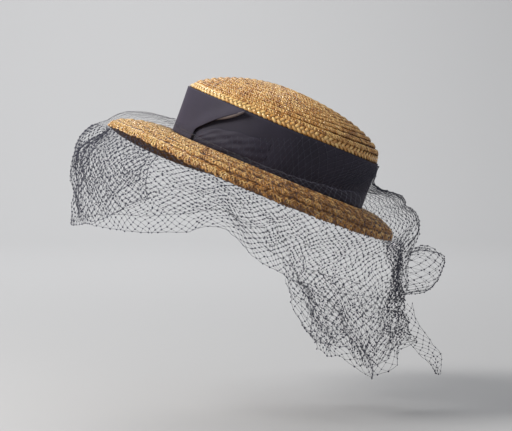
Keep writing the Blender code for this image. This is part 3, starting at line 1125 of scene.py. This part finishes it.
    def build(self) -> None:
        """Make the three lengths of ribbon and the flap's curled edge."""
        finish, under = self.finish.material, ("ribbon_round_crown",)
        # one ribbon in four copies that differ only in how pale they are: the band keeps the
        # darkest, and the flap's, the curled edge's and the tuck's paler copies are painted light
        # where the key lamp falls from the left
        self.strip("ribbon_round_crown", self.band(), True, finish("ribbon_dark", -0.1),
                   "ribbon_band")
        self.strip("ribbon_front_flap", self.flap(), False, finish("ribbon_lit", 0.25),
                   "ribbon_flap")
        roll, wear_and_highlight = self.lip()
        rows, columns = roll.shape[:2]
        # the curled edge is a paler copy of the ribbon, with its painted highlight mixed in by
        # tone
        edge = make_piece("ribbon_flap_curled_edge", roll, grid_faces(rows, columns, False),
                          finish("ribbon_edge_highlight", 0.2), wear_and_highlight,
                          grid_uv(rows, columns, False, 16.0, 1.0))
        thicken(edge, self.lip_thick)
        self.strip("ribbon_crumpled_tuck", self.tuck_surface(), False,
                   finish("ribbon_lit_tuck", 0.05), "ribbon_tuck")


def strand_tubes(start: np.ndarray, end: np.ndarray, out: np.ndarray,
                 radius: np.ndarray) -> tuple:
    """Three-sided tubes along straight strands.

    Args:
        start: Where each strand starts.
        end: Where it ends.
        out: Direction out of the net there.
        radius: Its radius.

    Returns:
        Points and faces.
    """
    ahead = unit(end - start)
    side = unit(np.cross(ahead, out))
    up = np.cross(side, ahead)
    turn = np.array([0.0, 2.0, 4.0]) * math.pi / 3.0
    around = (side[:, None] * np.cos(turn)[None, :, None]
              + up[:, None] * np.sin(turn)[None, :, None]) * radius[:, None, None]
    points = np.concatenate([start[:, None] + around, end[:, None] + around], axis=1)
    corner = np.array([[0, 1, 4], [0, 4, 3], [1, 2, 5], [1, 5, 4], [2, 0, 3], [2, 3, 5]])
    faces = np.arange(len(start))[:, None, None] * 6 + corner[None]
    return points.reshape(-1, 3), faces.reshape(-1, 3)


def knot_balls(middle: np.ndarray, out: np.ndarray, size: np.ndarray, flat: float) -> tuple:
    """Octahedra, flatter square to the net.

    Args:
        middle: Their middles.
        out: Directions out of the net.
        size: Their half widths.
        flat: Share of that which they have out of the net.

    Returns:
        Points and faces.
    """
    one = unit(np.cross(out, np.array([0.3, 0.2, 1.0])))
    two = np.cross(out, one)
    points = np.stack([middle + one * size, middle + two * size, middle - one * size,
                       middle - two * size, middle + out * size * flat,
                       middle - out * size * flat], axis=1)
    corner = np.array([[0, 1, 4], [1, 2, 4], [2, 3, 4], [3, 0, 4],
                       [1, 0, 5], [2, 1, 5], [3, 2, 5], [0, 3, 5]])
    faces = np.arange(len(middle))[:, None, None] * 6 + corner[None]
    return points.reshape(-1, 3), faces.reshape(-1, 3)


class Held(Enum):
    """How a length of net is held."""

    DRAPED = "draped"
    HUNG = "hung"
    GATHERED = "gathered"


@dataclass(frozen=True)
class Length:
    """One length of net.

    It stands for a node and rests on other pieces.  Its crumples have a usual size, start
    below a calm share of its rows, and come from its seed.  A selvedge is a thread along its
    open edges, this many times thicker than the others.
    """

    name: str
    node: str
    held: Held
    rests: tuple
    amount: float
    calm: float
    seed: int
    ring: bool = False
    selvedge: bool = True
    edge: float = 1.5


@dataclass
class Veil:
    """The net: threads along both diagonals of a surface, knotted where they cross."""

    form: HatForm
    finish: NetFinish
    thread: float = 0.125
    knot: float = 0.96
    knot_flat: float = 0.8
    half_mesh: float = 4.05
    unrest: float = 0.36
    crumples: int = 16
    # how high the net lies over the brim's edge
    lay: float = 1.6
    # how far the net on the ribbon leans, in degrees, round which angle and over how many
    lean: tuple = (24.0, 318.0, 26.0)
    # where the columns of the net crowd (above 0) or spread: how much, angle, reach
    crowds: tuple = ((-0.38, 145.0, 38.0), (0.3, 213.0, 15.0))
    # outward shares of the brim, and shares of the fall (1 at the widest place, 2 at the hem)
    over: tuple = (0.16, 0.42, 0.66, 0.84, 0.95)
    fall: tuple = (0.0, 0.12, 0.4, 0.75, 1.0, 1.35, 1.7, 2.0)
    # mean share of the rows that lie before the brim's edge, and its swing from front to back
    top_rows: tuple = (0.36, 0.09)
    headings: tuple = ("angle", "start", "leave", "lift", "out", "down", "hem_out", "hem_z",
                       "off")
    table: tuple = (
        (180, 12.0, 11.0, 4.5, 36.0, 41.0, 35.5, -55.5, 2.9),
        (205, 11.0, 9.0, 4.0, 33.0, 40.0, 33.0, -49.0, 3.9),
        (230, 12.0, 6.0, 3.0, 24.0, 34.0, 21.0, -54.0, 5.0),
        (248, 21.0, 5.0, 2.0, 15.0, 26.0, 8.0, -51.5, 5.0),
        (260, 28.0, 5.0, 1.6, 10.0, 18.0, 0.0, -49.5, 4.6),
        (270, 36.0, 5.0, 1.6, 7.0, 14.0, -8.0, -73.0, 2.6),
        (280, 44.0, 6.0, 1.8, 6.0, 12.0, -18.0, -89.0, 1.5),
        (292, 45.5, 8.0, 3.0, 7.0, 12.0, -30.0, -101.0, 1.2),
        (312, 45.5, 13.0, 10.0, 12.0, 16.0, -27.0, -112.0, 1.2),
        (336, 45.5, 23.0, 26.0, 22.0, 21.0, -4.0, -123.0, 1.2),
        (360, 45.0, 29.0, 34.0, 28.5, 21.0, 10.0, -129.0, 1.2))
    # angle, lowest z
    swag_low: tuple = ((176, 12.0), (186, -12.0), (196, -37.0), (205, -46.0), (214, -41.0),
                       (224, -30.0), (232, -22.0))
    swag_high: tuple = ((178, 26.0), (187, 2.0), (197, -18.0), (206, -28.0), (215, -21.0),
                        (223, -9.0), (230, 0.0))
    # how far below the brim's edge a swag starts, starts to spread, and over which height
    swag_top: tuple = (0.9, 3.0, 22.0)
    # reach beyond the veil, z, half width
    lobe: tuple = ((0.0, -79.0, 24.0), (13.0, -78.6, 27.0), (25.4, -82.0, 30.0),
                   (33.9, -92.0, 32.0), (35.7, -103.0, 32.0), (30.4, -115.5, 30.0),
                   (20.1, -122.0, 27.0), (0.0, -125.5, 24.0))
    lobe_wave: float = 1.2
    # share of the loop's height that is left at its sides, how far the loop starts from the
    # veil, and how far beyond the brim's half width it is round
    lobe_sides: float = 0.72
    lobe_off: float = 2.0
    lobe_round: float = 14.0
    # angle, x, y, z
    tail: tuple = ((288, 42.0, -56.0, -175.0), (300, 60.0, -62.0, -182.0),
                   (312, 78.0, -60.0, -182.0), (324, 96.0, -50.0, -202.0),
                   (336, 113.0, -37.0, -200.0), (348, 132.0, -19.0, -183.0),
                   (360, 143.0, 0.0, -173.0))
    # how far below the hem the tail starts, its waves' size and number, the x that its inner
    # fold is drawn to, and how much higher a fold ends that is drawn in all the way
    tail_drop: float = 0.7
    tail_wave: float = 3.0
    tail_waves: float = 17.0
    tail_middle: float = 92.0
    fold_lift: float = 60.0
    # x and y of its front edge, x and y of its back edge, z
    end: tuple = ((126.8, -25.0, 145.0, -9.0, -133.0), (128.6, -22.6, 148.5, -8.0, -146.0),
                  (132.4, -17.2, 154.8, -6.0, -159.0), (142.4, -5.6, 164.8, -3.0, -173.0),
                  (152.5, -2.0, 174.5, 1.0, -184.0), (162.5, 2.0, 174.0, 3.0, -195.0),
                  (169.0, 4.0, 172.5, 4.0, -206.0))
    end_cup: float = 2.5
    # x, y and z of the top of the gather behind the brim, its width and drop, and how deep its
    # pleats are
    bunch: tuple = (126.0, -8.0, -68.0, 62.0, 62.0, 9.5)
    # x, y and z of a gather, its reach along each, how strongly it draws the net in
    draws: tuple = ((-163.0, -50.0, -51.0, 12.0, 45.0, 9.0, 0.35),
                    (130.0, -27.0, -90.0, 14.0, 30.0, 34.0, 0.75),
                    (57.0, -58.0, -166.0, 15.0, 40.0, 15.0, 0.5),
                    (141.0, -8.0, -72.0, 14.0, 30.0, 12.0, 0.6))

    @staticmethod
    def folded(angle: np.ndarray) -> np.ndarray:
        """Angle of the matching section on the left side of the hat."""
        angle = np.mod(angle, 360.0)
        return np.where(angle < 180.0, 360.0 - angle, np.where(angle == 0.0, 360.0, angle))

    def read(self, angle: np.ndarray, *names: str) -> list:
        """Columns of the veil's table, by name, at angles of either side."""
        side = self.folded(angle)
        return [spline(self.table, self.headings.index(name), side) for name in names]

    def brow(self, angle: np.ndarray) -> np.ndarray:
        """Height at which the net goes over the brim's edge: it lies there, and is lifted."""
        edge = self.form.place(*self.form.brim_edge(angle))
        return edge[..., 2] + self.lay + self.read(angle, "lift")[0] * math.cos(self.form.tilt)

    def out_at(self, angle: np.ndarray, z: np.ndarray) -> np.ndarray:
        """How far outside the brim's edge the hanging net is at a height.

        A quarter oval out to the widest place, then a curve that goes over to the hem.

        Args:
            angle: Angles in degrees.
            z: World heights.

        Returns:
            Distances outside the edge.
        """
        lift, out, down, hem_out, hem_z = self.read(angle, "lift", "out", "down", "hem_out",
                                                    "hem_z")
        start_out = self.lay + lift * math.sin(self.form.tilt) * np.cos(np.radians(angle))
        start_z = self.brow(angle)
        share = np.clip((start_z - z) / down, 0.0, 1.0)
        upper = start_out + (out - start_out) * np.sqrt(1.0 - (1.0 - share) ** 2)
        deep = np.maximum(start_z - down - hem_z, 1.0)
        below = np.clip((start_z - down - z) / deep, 0.0, 1.0)
        return upper + (hem_out - out) * below ** 0.8 * (share >= 1.0)

    @staticmethod
    def gathers(angle: np.ndarray, fall: float) -> np.ndarray:
        """Sideways waves of the hanging net: two sines of the angle that grow with the fall.

        Args:
            angle: Angles in degrees.
            fall: 0 where they start, 1 at the lower edge.

        Returns:
            Distances outwards.
        """
        a = np.radians(angle)
        back = 0.5 + 0.5 * np.cos(a)
        return fall * (1.5 * np.sin(9.0 * a + 0.6) + (0.6 + 1.6 * back) * np.sin(14.0 * a + 1.1))

    def column_angles(self, columns: int) -> np.ndarray:
        """Angles of the net's columns, nearer together where the net crowds.

        Args:
            columns: How many.

        Returns:
            Angles in degrees.
        """
        fine = np.arange(0.0, 360.5, 0.5)
        crowd = np.ones(len(fine))
        for amount, middle, reach in self.crowds:
            crowd = crowd + amount * np.exp(-((fine - middle) / reach) ** 2)
        at = run(0.5 * (crowd[1:] + crowd[:-1]))
        return np.interp(np.arange(columns) * at[-1] / columns, at, fine)

    def drape(self, columns: int, rows: int) -> np.ndarray:
        """Surface from the ribbon over the brim to the hem, a smooth curve at each angle.

        Four points up the ribbon, five over the brim, which follow its section, and eight
        down the hanging part.  The rows are shared out between both sides of the brim's edge.

        Args:
            columns: Points round the hat.
            rows: Points down each section.

        Returns:
            Grid of points.
        """
        form, angle = self.form, self.column_angles(columns)
        leave, lift, down, hem_z, off = self.read(angle, "leave", "lift", "down", "hem_z", "off")
        most, middle, reach = self.lean
        lean = most * np.exp(-((angle - middle) / reach) ** 4)
        points = []
        for share in (0.0, 0.33, 0.67, 1.0):
            turned = angle + lean * (1.0 - share)
            start, low, loose = self.read(turned, "start", "leave", "off")
            w = start + (low - start) * share
            u, v = form.wall(turned, w, form.ribbon_out + loose + 0.8 * share)
            points.append(form.place(u, v, w))
        u0, v0 = form.wall(angle, 0.0, form.ribbon_out + off)
        u1, v1, w1 = form.brim_edge(angle)
        left = form.left_share(angle)
        shares, near, far = (np.array(column)[:-1] for column in zip(*form.brim_section))
        for t in self.over:
            drop = np.interp(t, shares, near) * left + np.interp(t, shares, far) * (1.0 - left)
            raised = self.lay + (leave - 1.0) * (1.0 - t) ** 0.8 * 0.9 + lift * t ** 1.5
            points.append(form.place(u0 + (u1 - u0) * t, v0 + (v1 - v0) * t, w1 * drop + raised))
        start_z = self.brow(angle)
        for share in self.fall:
            z = (start_z - share * down if share <= 1.0
                 else start_z - down + (share - 1.0) * (hem_z - start_z + down))
            out = self.out_at(angle, z) + self.gathers(angle, max(0.0, share - 0.5) / 1.5)
            out = np.maximum(out, 2.3) if share < 0.7 else out
            points.append(form.beyond_edge(angle, out, z))
        points = np.array(points)
        length = steps(points)
        edge_share = length[:9].sum(axis=0) / length.sum(axis=0)
        t = np.linspace(0.0, 1.0, rows)[:, None]
        top = self.top_rows[0] + self.top_rows[1] * np.cos(np.radians(angle))
        past = edge_share + (t - top) / (1.0 - top) * (1.0 - edge_share)
        return along(resample(points, rows * 6), np.where(t < top, t / top * edge_share, past))

    def swag(self, table: tuple, span: tuple, start: float, inside: float, columns: int,
             rows: int) -> np.ndarray:
        """Surface of a slack fold, from the brim's edge out to the inside of the veil's front.

        It spreads as the sine of its fall.

        Args:
            table: Its lowest height by the angle.
            span: Its first and last angle.
            start: How far outside the brim's edge it starts.
            inside: How far inside the veil it hangs.
            columns: Points across it.
            rows: Points down it.

        Returns:
            Grid of points.
        """
        angle = np.linspace(*span, columns)
        low = spline(table, 1, angle, free=True)
        drop, later, over = self.swag_top
        top = self.form.place(*self.form.brim_edge(angle))[:, 2] - drop
        grid = []
        for share in np.linspace(0.0, 1.0, rows):
            z = top + (low - top) * share
            spread = np.sin(0.5 * math.pi * np.clip((top - later - z) / over, 0.0, 1.0))
            wide = self.out_at(angle, z) - inside + self.gathers(angle, 0.25)
            far = start + (np.maximum(wide, start) - start) * spread
            grid.append(self.form.beyond_edge(angle, far, z))
        return np.array(grid)

    def veil_point(self, angle: np.ndarray, z: np.ndarray, out: np.ndarray) -> np.ndarray:
        """Place outside the hanging veil, whose waves grow with its fall.

        Args:
            angle: Angles in degrees.
            z: World heights.
            out: Distances from the veil.

        Returns:
            World points.
        """
        down, hem_z = self.read(angle, "down", "hem_z")
        widest = self.brow(angle) - down
        fall = np.clip(0.5 + (widest - z) / (widest - hem_z), 0.0, 1.5) / 1.5
        far = self.out_at(angle, z) + self.gathers(angle, fall) + out
        return self.form.beyond_edge(angle, far, z)

    def bunch_surface(self, columns: int, rows: int) -> np.ndarray:
        """Surface of the pleats behind the brim: a sine across, narrowing to its foot.

        Args:
            columns: Points across it.
            rows: Points down it.

        Returns:
            Grid of points.
        """
        share = np.linspace(0.0, 1.0, columns)[None, :]
        fall = np.linspace(0.0, 1.0, rows)[:, None]
        back, side, top, wide, drop, pleat = self.bunch
        narrow = 1.0 - 0.45 * fall
        x = (back + 4.0 * fall + pleat * narrow * np.sin(TAU * 2.5 * share)
             - 22.0 * (share - 0.7) ** 2)
        y = side + wide * narrow * (share - 0.72)
        return np.stack(np.broadcast_arrays(x, y, top - drop * fall + 0.0 * share), axis=-1)

    def lobe_surface(self, rows: int, columns: int) -> np.ndarray:
        """Surface of the puffed loop, a pillow whose rim lies on the back of the veil.

        Its reach is that of its table times a power of the cosine of its turn to the side.

        Args:
            rows: Points down it.
            columns: Points across it.

        Returns:
            Grid of points.
        """
        table = [(i / (len(self.lobe) - 1), *row) for i, row in enumerate(self.lobe)]
        t = np.linspace(0.0, 1.0, rows)
        reach, z, half = (spline(table, c, t, free=True) for c in (1, 2, 3))
        middle = 0.5 * (self.lobe[0][1] + self.lobe[-1][1])
        grid = []
        for turn in np.linspace(-0.5 * math.pi, 0.5 * math.pi, columns):
            bulge = abs(math.cos(turn)) ** 0.6
            high = self.lobe_sides + (1.0 - self.lobe_sides) * bulge
            wave = self.lobe_wave * math.sin(6.0 * math.sin(turn)) * np.sin(np.pi * t) * bulge
            angle = np.degrees(np.arcsin(half * math.sin(turn)
                                         / (self.form.brim_half_width + self.lobe_round)))
            grid.append(self.veil_point(angle, middle + (z - middle) * high,
                                        self.lobe_off + reach * bulge + wave))
        return np.swapaxes(np.array(grid), 0, 1)

    def tail_surface(self, columns: int, rows: int, shrink: float = 0.0) -> np.ndarray:
        """Surface of the long tail, from the hem at the back down to its own table's edge.

        Args:
            columns: Points round it.
            rows: Points down it.
            shrink: Share by which an inner layer is drawn towards its middle.

        Returns:
            Grid of points.
        """
        first = self.tail[0][0]
        angle = np.linspace(first, 720.0 - first, columns)
        hand = np.where(angle > 360.0, -1.0, 1.0)
        hem_out, hem_z = self.read(angle, "hem_out", "hem_z")
        top = self.form.beyond_edge(angle, hem_out + self.gathers(angle, 1.0),
                                    hem_z - self.tail_drop)
        low = np.stack([spline(self.tail, c, self.folded(angle)) for c in (1, 2, 3)], axis=-1)
        low[:, 1] *= hand
        a = np.radians(angle)
        waves = self.tail_wave * np.sin(self.tail_waves * a + 0.8)
        grid = []
        for share in np.linspace(0.0, 1.0, rows):
            blend = share * share * (3.0 - 2.0 * share)
            xy = top[:, :2] + (low[:, :2] - top[:, :2]) * blend
            z = top[:, 2] + (low[:, 2] - top[:, 2]) * share
            wave = (waves * math.sin(0.5 * math.pi * share))[:, None]
            xy = xy + wave * np.stack([np.cos(a), np.sin(a)], axis=-1)
            xy = xy + (np.array([self.tail_middle, 0.0]) - xy) * shrink * min(1.0, 0.3 + share)
            z = z + self.fold_lift * shrink * share
            grid.append(np.concatenate([xy, z[:, None]], axis=1))
        return np.array(grid)

    def end_surface(self, columns: int, rows: int) -> np.ndarray:
        """Surface of the pointed end, a narrow strip over the tail's near side with a soft cup.

        Args:
            columns: Points across it.
            rows: Points down it.

        Returns:
            Grid of points.
        """
        table = [(i / (len(self.end) - 1), *row) for i, row in enumerate(self.end)]
        t = np.linspace(0.0, 1.0, rows)
        x0, y0, x1, y1, z = (spline(table, c, t, free=True) for c in (1, 2, 3, 4, 5))
        grid = []
        for share in np.linspace(0.0, 1.0, columns):
            cup = self.end_cup * math.sin(math.pi * share) * np.sin(np.pi * t)
            x, y = x0 + (x1 - x0) * share, y0 + (y1 - y0) * share - cup
            grid.append(np.stack([x, y, z], axis=-1))
        return np.swapaxes(np.array(grid), 0, 1)

    def crumple(self, cut: Length, grid: np.ndarray) -> np.ndarray:
        """Shift a surface's points smoothly, and draw them in at the gathers.

        The shift is a sum of cosines of both directions of the grid, with phases of its own for
        x, y and z.  It grows from nothing at the share of the rows that stays calm.  A gather
        draws points to itself by a bell of their distance.

        Args:
            cut: The length of net.
            grid: The surface's points.

        Returns:
            The shifted points.
        """
        rows, columns = grid.shape[:2]
        r = np.linspace(0.0, 1.0, rows)[:, None]
        c = np.linspace(0.0, 1.0, columns, endpoint=not cut.ring)[None, :]
        rng = np.random.default_rng(cut.seed)
        shift = np.zeros(grid.shape)
        for _ in range(self.crumples):
            turns = rng.integers(1, max(2, columns // 9) + 1) * rng.choice((-1, 1))
            wave = TAU * (turns * c + rng.uniform(0.3, max(0.6, rows / 9.0)) * r)
            shift = shift + np.cos(wave[..., None] + rng.uniform(0.0, TAU, 3))
        shift[..., 2] *= 1.0 - 0.75 * r * r
        grow = np.clip((r - cut.calm) / 0.25, 0.0, 1.0)
        size = cut.amount / math.sqrt(8.0) * grow * grow * (3.0 - 2.0 * grow)
        grid = grid + shift * size[..., None]
        for *centre, wide, deep, high, pull in self.draws:
            near = np.exp(-(((grid - centre) / np.array([wide, deep, high])) ** 2).sum(axis=-1))
            freely = np.array([1.0, 0.25, 1.0 if high < 30.0 else 0.0])
            grid = grid + (centre - grid) * near[..., None] * pull * freely * grow[..., None]
        return grid

    def thinning(self, cut: Length, rows: int, columns: int) -> tuple:
        """How thick thread and knots are at each point of a grid, as shares of the usual.

        Over the ribbon and the brim both follow the cosine of the angle, thinner at the front
        and thicker at the back.  Past the brim's edge they go over to the usual thickness.

        Args:
            cut: The length of net.
            rows: Rows of points.
            columns: Columns of points.

        Returns:
            Shares of the thread's and of the knots' thickness.
        """
        r, c = np.meshgrid(np.arange(rows), np.arange(columns), indexing="ij")
        turned = np.cos(TAU * c / columns) if cut.ring else 0.0 * c
        past = np.clip((r / (rows - 1.0) - cut.calm + 0.03 - 0.09 * turned) / 0.05, 0.0, 1.0)
        narrow = 0.95 + 0.5 * turned
        small = 0.42 * narrow
        return ((narrow + (1.0 - narrow) * past).reshape(-1),
                (small + (1.0 - small) * past).reshape(-1))

    @staticmethod
    def strand_ends(cut: Length, rows: int, columns: int) -> tuple:
        """Which points of a grid are knots, and which pairs a thread joins.

        Every second point, as on a chessboard, is a knot, joined to the four around it.

        Args:
            cut: The length of net.
            rows: Rows of points.
            columns: Columns of points.

        Returns:
            A mark a point, the pairs in the net and the pairs along its open edges.
        """
        r, c = np.meshgrid(np.arange(rows), np.arange(columns), indexing="ij")
        even = (r + c) % 2 == 0
        pairs = []
        for step in (-1, 1):
            d = c + step
            good = even & (r + 1 < rows) & (cut.ring | ((d >= 0) & (d < columns)))
            pairs.append(np.stack([(r * columns + c)[good],
                                   ((r + 1) * columns + d % columns)[good]], -1))
        border = [np.zeros((0, 2), int)]
        if cut.selvedge:
            last, hem = (rows - 1) * columns, np.arange(columns if cut.ring else columns - 1)
            border.append(np.stack([last + hem, last + (hem + 1) % columns], -1))
        if cut.selvedge and not cut.ring:
            down = np.arange(rows - 1) * columns
            border += [np.stack([down + c0, down + columns + c0], -1) for c0 in (0, columns - 1)]
        return even.reshape(-1), np.concatenate(pairs), np.concatenate(border)

    def knit(self, cut: Length, grid: np.ndarray, finish: bpy.types.Material) -> None:
        """Turn a surface into net: three-sided threads from knot to knot, octahedra as knots.

        Args:
            cut: The length of net.
            grid: The surface's points, half a mesh apart.
            finish: The thread's material.
        """
        rows, columns = grid.shape[:2]
        rng = np.random.default_rng(cut.seed)
        grid = self.crumple(cut, grid) + rng.normal(0.0, self.unrest, grid.shape)
        across = (np.roll(grid, -1, axis=1) - np.roll(grid, 1, axis=1) if cut.ring
                  else np.gradient(grid, axis=1))
        out = unit(np.cross(across, np.gradient(grid, axis=0))).reshape(-1, 3)
        points = grid.reshape(-1, 3)
        even, inner, border = self.strand_ends(cut, rows, columns)
        slim, small = self.thinning(cut, rows, columns)
        radius = np.concatenate([self.thread * slim[inner[:, 0]],
                                 np.full(len(border), self.thread * cut.edge)])
        pairs = np.concatenate([inner, border])
        size = self.knot * rng.uniform(0.75, 1.25, (even.sum(), 1)) * small[even, None]
        strands = strand_tubes(points[pairs[:, 0]], points[pairs[:, 1]], out[pairs[:, 0]], radius)
        knots = knot_balls(points[even], out[even], size, self.knot_flat)
        piece = make_piece(cut.name, *join([strands, knots]), finish)
        stand_for(cut.node)

    def build(self) -> None:
        """Make the eight lengths of net."""
        finish = self.finish.material()
        brim, veil = ("brim_wall",), ("veil_over_brim",)
        hung, gathered = Held.HUNG, Held.GATHERED
        lengths = (
            (Length("veil_over_brim", "veil_drape", Held.DRAPED,
                    ("brim_wall", "ribbon_round_crown"), 1.7, 0.42, 3, ring=True),
             self.drape(232, 42)),
            (Length("veil_front_low_fold", "veil_swag_low", hung, brim, 0.7, 0.1, 4, edge=2.4),
             self.swag(self.swag_low, (176.0, 232.0), 1.9, 3.6, 46, 20)),
            (Length("veil_front_high_fold", "veil_swag_high", hung, brim, 0.8, 0.1, 5, edge=2.4),
             self.swag(self.swag_high, (180.0, 228.0), -0.4, 9.5, 40, 16)),
            (Length("veil_puffed_loop", "veil_lobe", gathered, veil, 1.8, 0.0, 6, selvedge=False),
             self.lobe_surface(21, 19)),
            (Length("veil_long_tail", "veil_tail", hung, veil, 2.2, 0.0, 7),
             self.tail_surface(81, 19)),
            (Length("veil_tail_inner_fold", "veil_tail", hung, veil, 3.2, 0.0, 9),
             self.tail_surface(73, 17, 0.16)),
            (Length("veil_back_gather", "veil_drape", gathered, veil, 2.4, 0.0, 10,
                    selvedge=False), self.bunch_surface(30, 18)),
            (Length("veil_pointed_end", "veil_end", hung, ("veil_long_tail",), 0.8, 0.0, 8),
             self.end_surface(7, 22)))
        for cut, surface in lengths:
            self.knit(cut, surface, finish)


@dataclass(frozen=True)
class Lamp:
    """One square soft light, in metres and watts."""

    name: str
    place: tuple
    aim: tuple
    size: float
    power: float
    colour: tuple

    def build(self) -> None:
        """Hang the light and turn it to its aim."""
        lamp = bpy.data.lights.new(self.name, "AREA")
        lamp.shape, lamp.size = "SQUARE", self.size
        lamp.energy, lamp.color = self.power, self.colour
        holder = bpy.data.objects.new(self.name, lamp)
        holder.location = self.place
        x, y, z = (b - a for a, b in zip(self.place, self.aim))
        holder.rotation_euler = (math.atan2(math.hypot(x, y), -z), 0.0,
                                 math.atan2(y, x) - math.pi / 2.0)
        bpy.context.scene.collection.objects.link(holder)


@dataclass
class Studio:
    """Camera, pale floor with a curved backdrop, and soft light, in metres."""

    distance: float = 2.0
    pitch: float = math.radians(3.7)
    target: tuple = (-0.0115, 0.0, -0.0458)
    sensor: float = 36.0
    # width of the picture at the hat's middle
    picture: float = 0.512
    floor: float = -0.240
    half_width: float = 3.5
    bend: float = 1.1
    wall: float = 3.2
    wall_top: float = 4.0
    greys: tuple = ((0.505, 0.505, 0.51), (0.54, 0.54, 0.545))
    air: tuple = (0.95, 0.97, 1.0, 1.0)
    air_power: float = 0.32
    lamps: tuple = (
        Lamp("key", (-1.05, -0.42, 0.95), (-0.05, 0.0, 0.0), 0.45, 20.0, (1.0, 0.98, 0.95)),
        Lamp("fill", (1.2, -1.8, 0.8), (0.0, 0.0, 0.0), 1.2, 4.0, (0.95, 0.97, 1.0)),
        Lamp("back_top", (-0.5, 1.6, 1.9), (-0.5, 2.6, 0.1), 1.6, 42.0, (1.0, 1.0, 1.0)))

    def camera(self) -> None:
        """Camera at the picture's angle, one millimetre to a pixel at the hat's middle."""
        lens = bpy.data.cameras.new("camera")
        lens.sensor_width = self.sensor
        lens.lens = self.sensor * self.distance / self.picture
        lens.clip_end = 20.0
        camera = bpy.data.objects.new("camera", lens)
        camera.location = (self.target[0],
                           self.target[1] - self.distance * math.cos(self.pitch),
                           self.target[2] + self.distance * math.sin(self.pitch))
        camera.rotation_euler = (math.pi / 2.0 - self.pitch, 0.0, 0.0)
        bpy.context.scene.collection.objects.link(camera)
        bpy.context.scene.camera = camera

    def sweep(self) -> None:
        """Floor that curves up into a backdrop: a flat run, a quarter circle and a wall."""
        t = np.linspace(0.0, 0.5 * math.pi, 24)
        bend = self.wall - self.bend + self.bend * np.sin(t)
        y = np.concatenate([[-self.half_width, 0.0], bend, [self.wall]])
        z = np.concatenate([[0.0, 0.0], self.bend - self.bend * np.cos(t),
                            [self.wall_top]]) + self.floor
        x = np.array([-self.half_width, self.half_width])
        grid = np.stack(np.broadcast_arrays(x[None, :], y[:, None], z[:, None]), axis=-1) / MM
        paint = Paint("backdrop")
        paint.surface(Base_Color=paint.mix(paint.noise(0.6, 1.0), *self.greys), Roughness=0.9)
        make_object("studio_sweep", grid, grid_faces(len(y), 2, False),
                             paint.material)

    def build(self) -> None:
        """Set up the camera, the sweep, the lights and the soft light all round."""
        self.camera()
        self.sweep()
        for lamp in self.lamps:
            lamp.build()
        bpy.context.scene.view_settings.view_transform = "Standard"
        world = bpy.data.worlds.new("soft_room")
        world.use_nodes = True
        glow = world.node_tree.nodes["Background"].inputs
        glow[0].default_value, glow[1].default_value = self.air, self.air_power
        bpy.context.scene.world = world


def main() -> None:
    """Build the studio and the hat."""
    logging.basicConfig(level=logging.INFO, format="%(message)s")
    form, straw = HatForm(), StrawFinish()
    for part in (Studio(), Crown(form, straw), Brim(form, straw), Ribbon(form, RibbonFinish()),
                 Veil(form, NetFinish())):
        part.build()
        log.info("built %s", type(part).__name__)


if __name__ == "__main__":
    main()
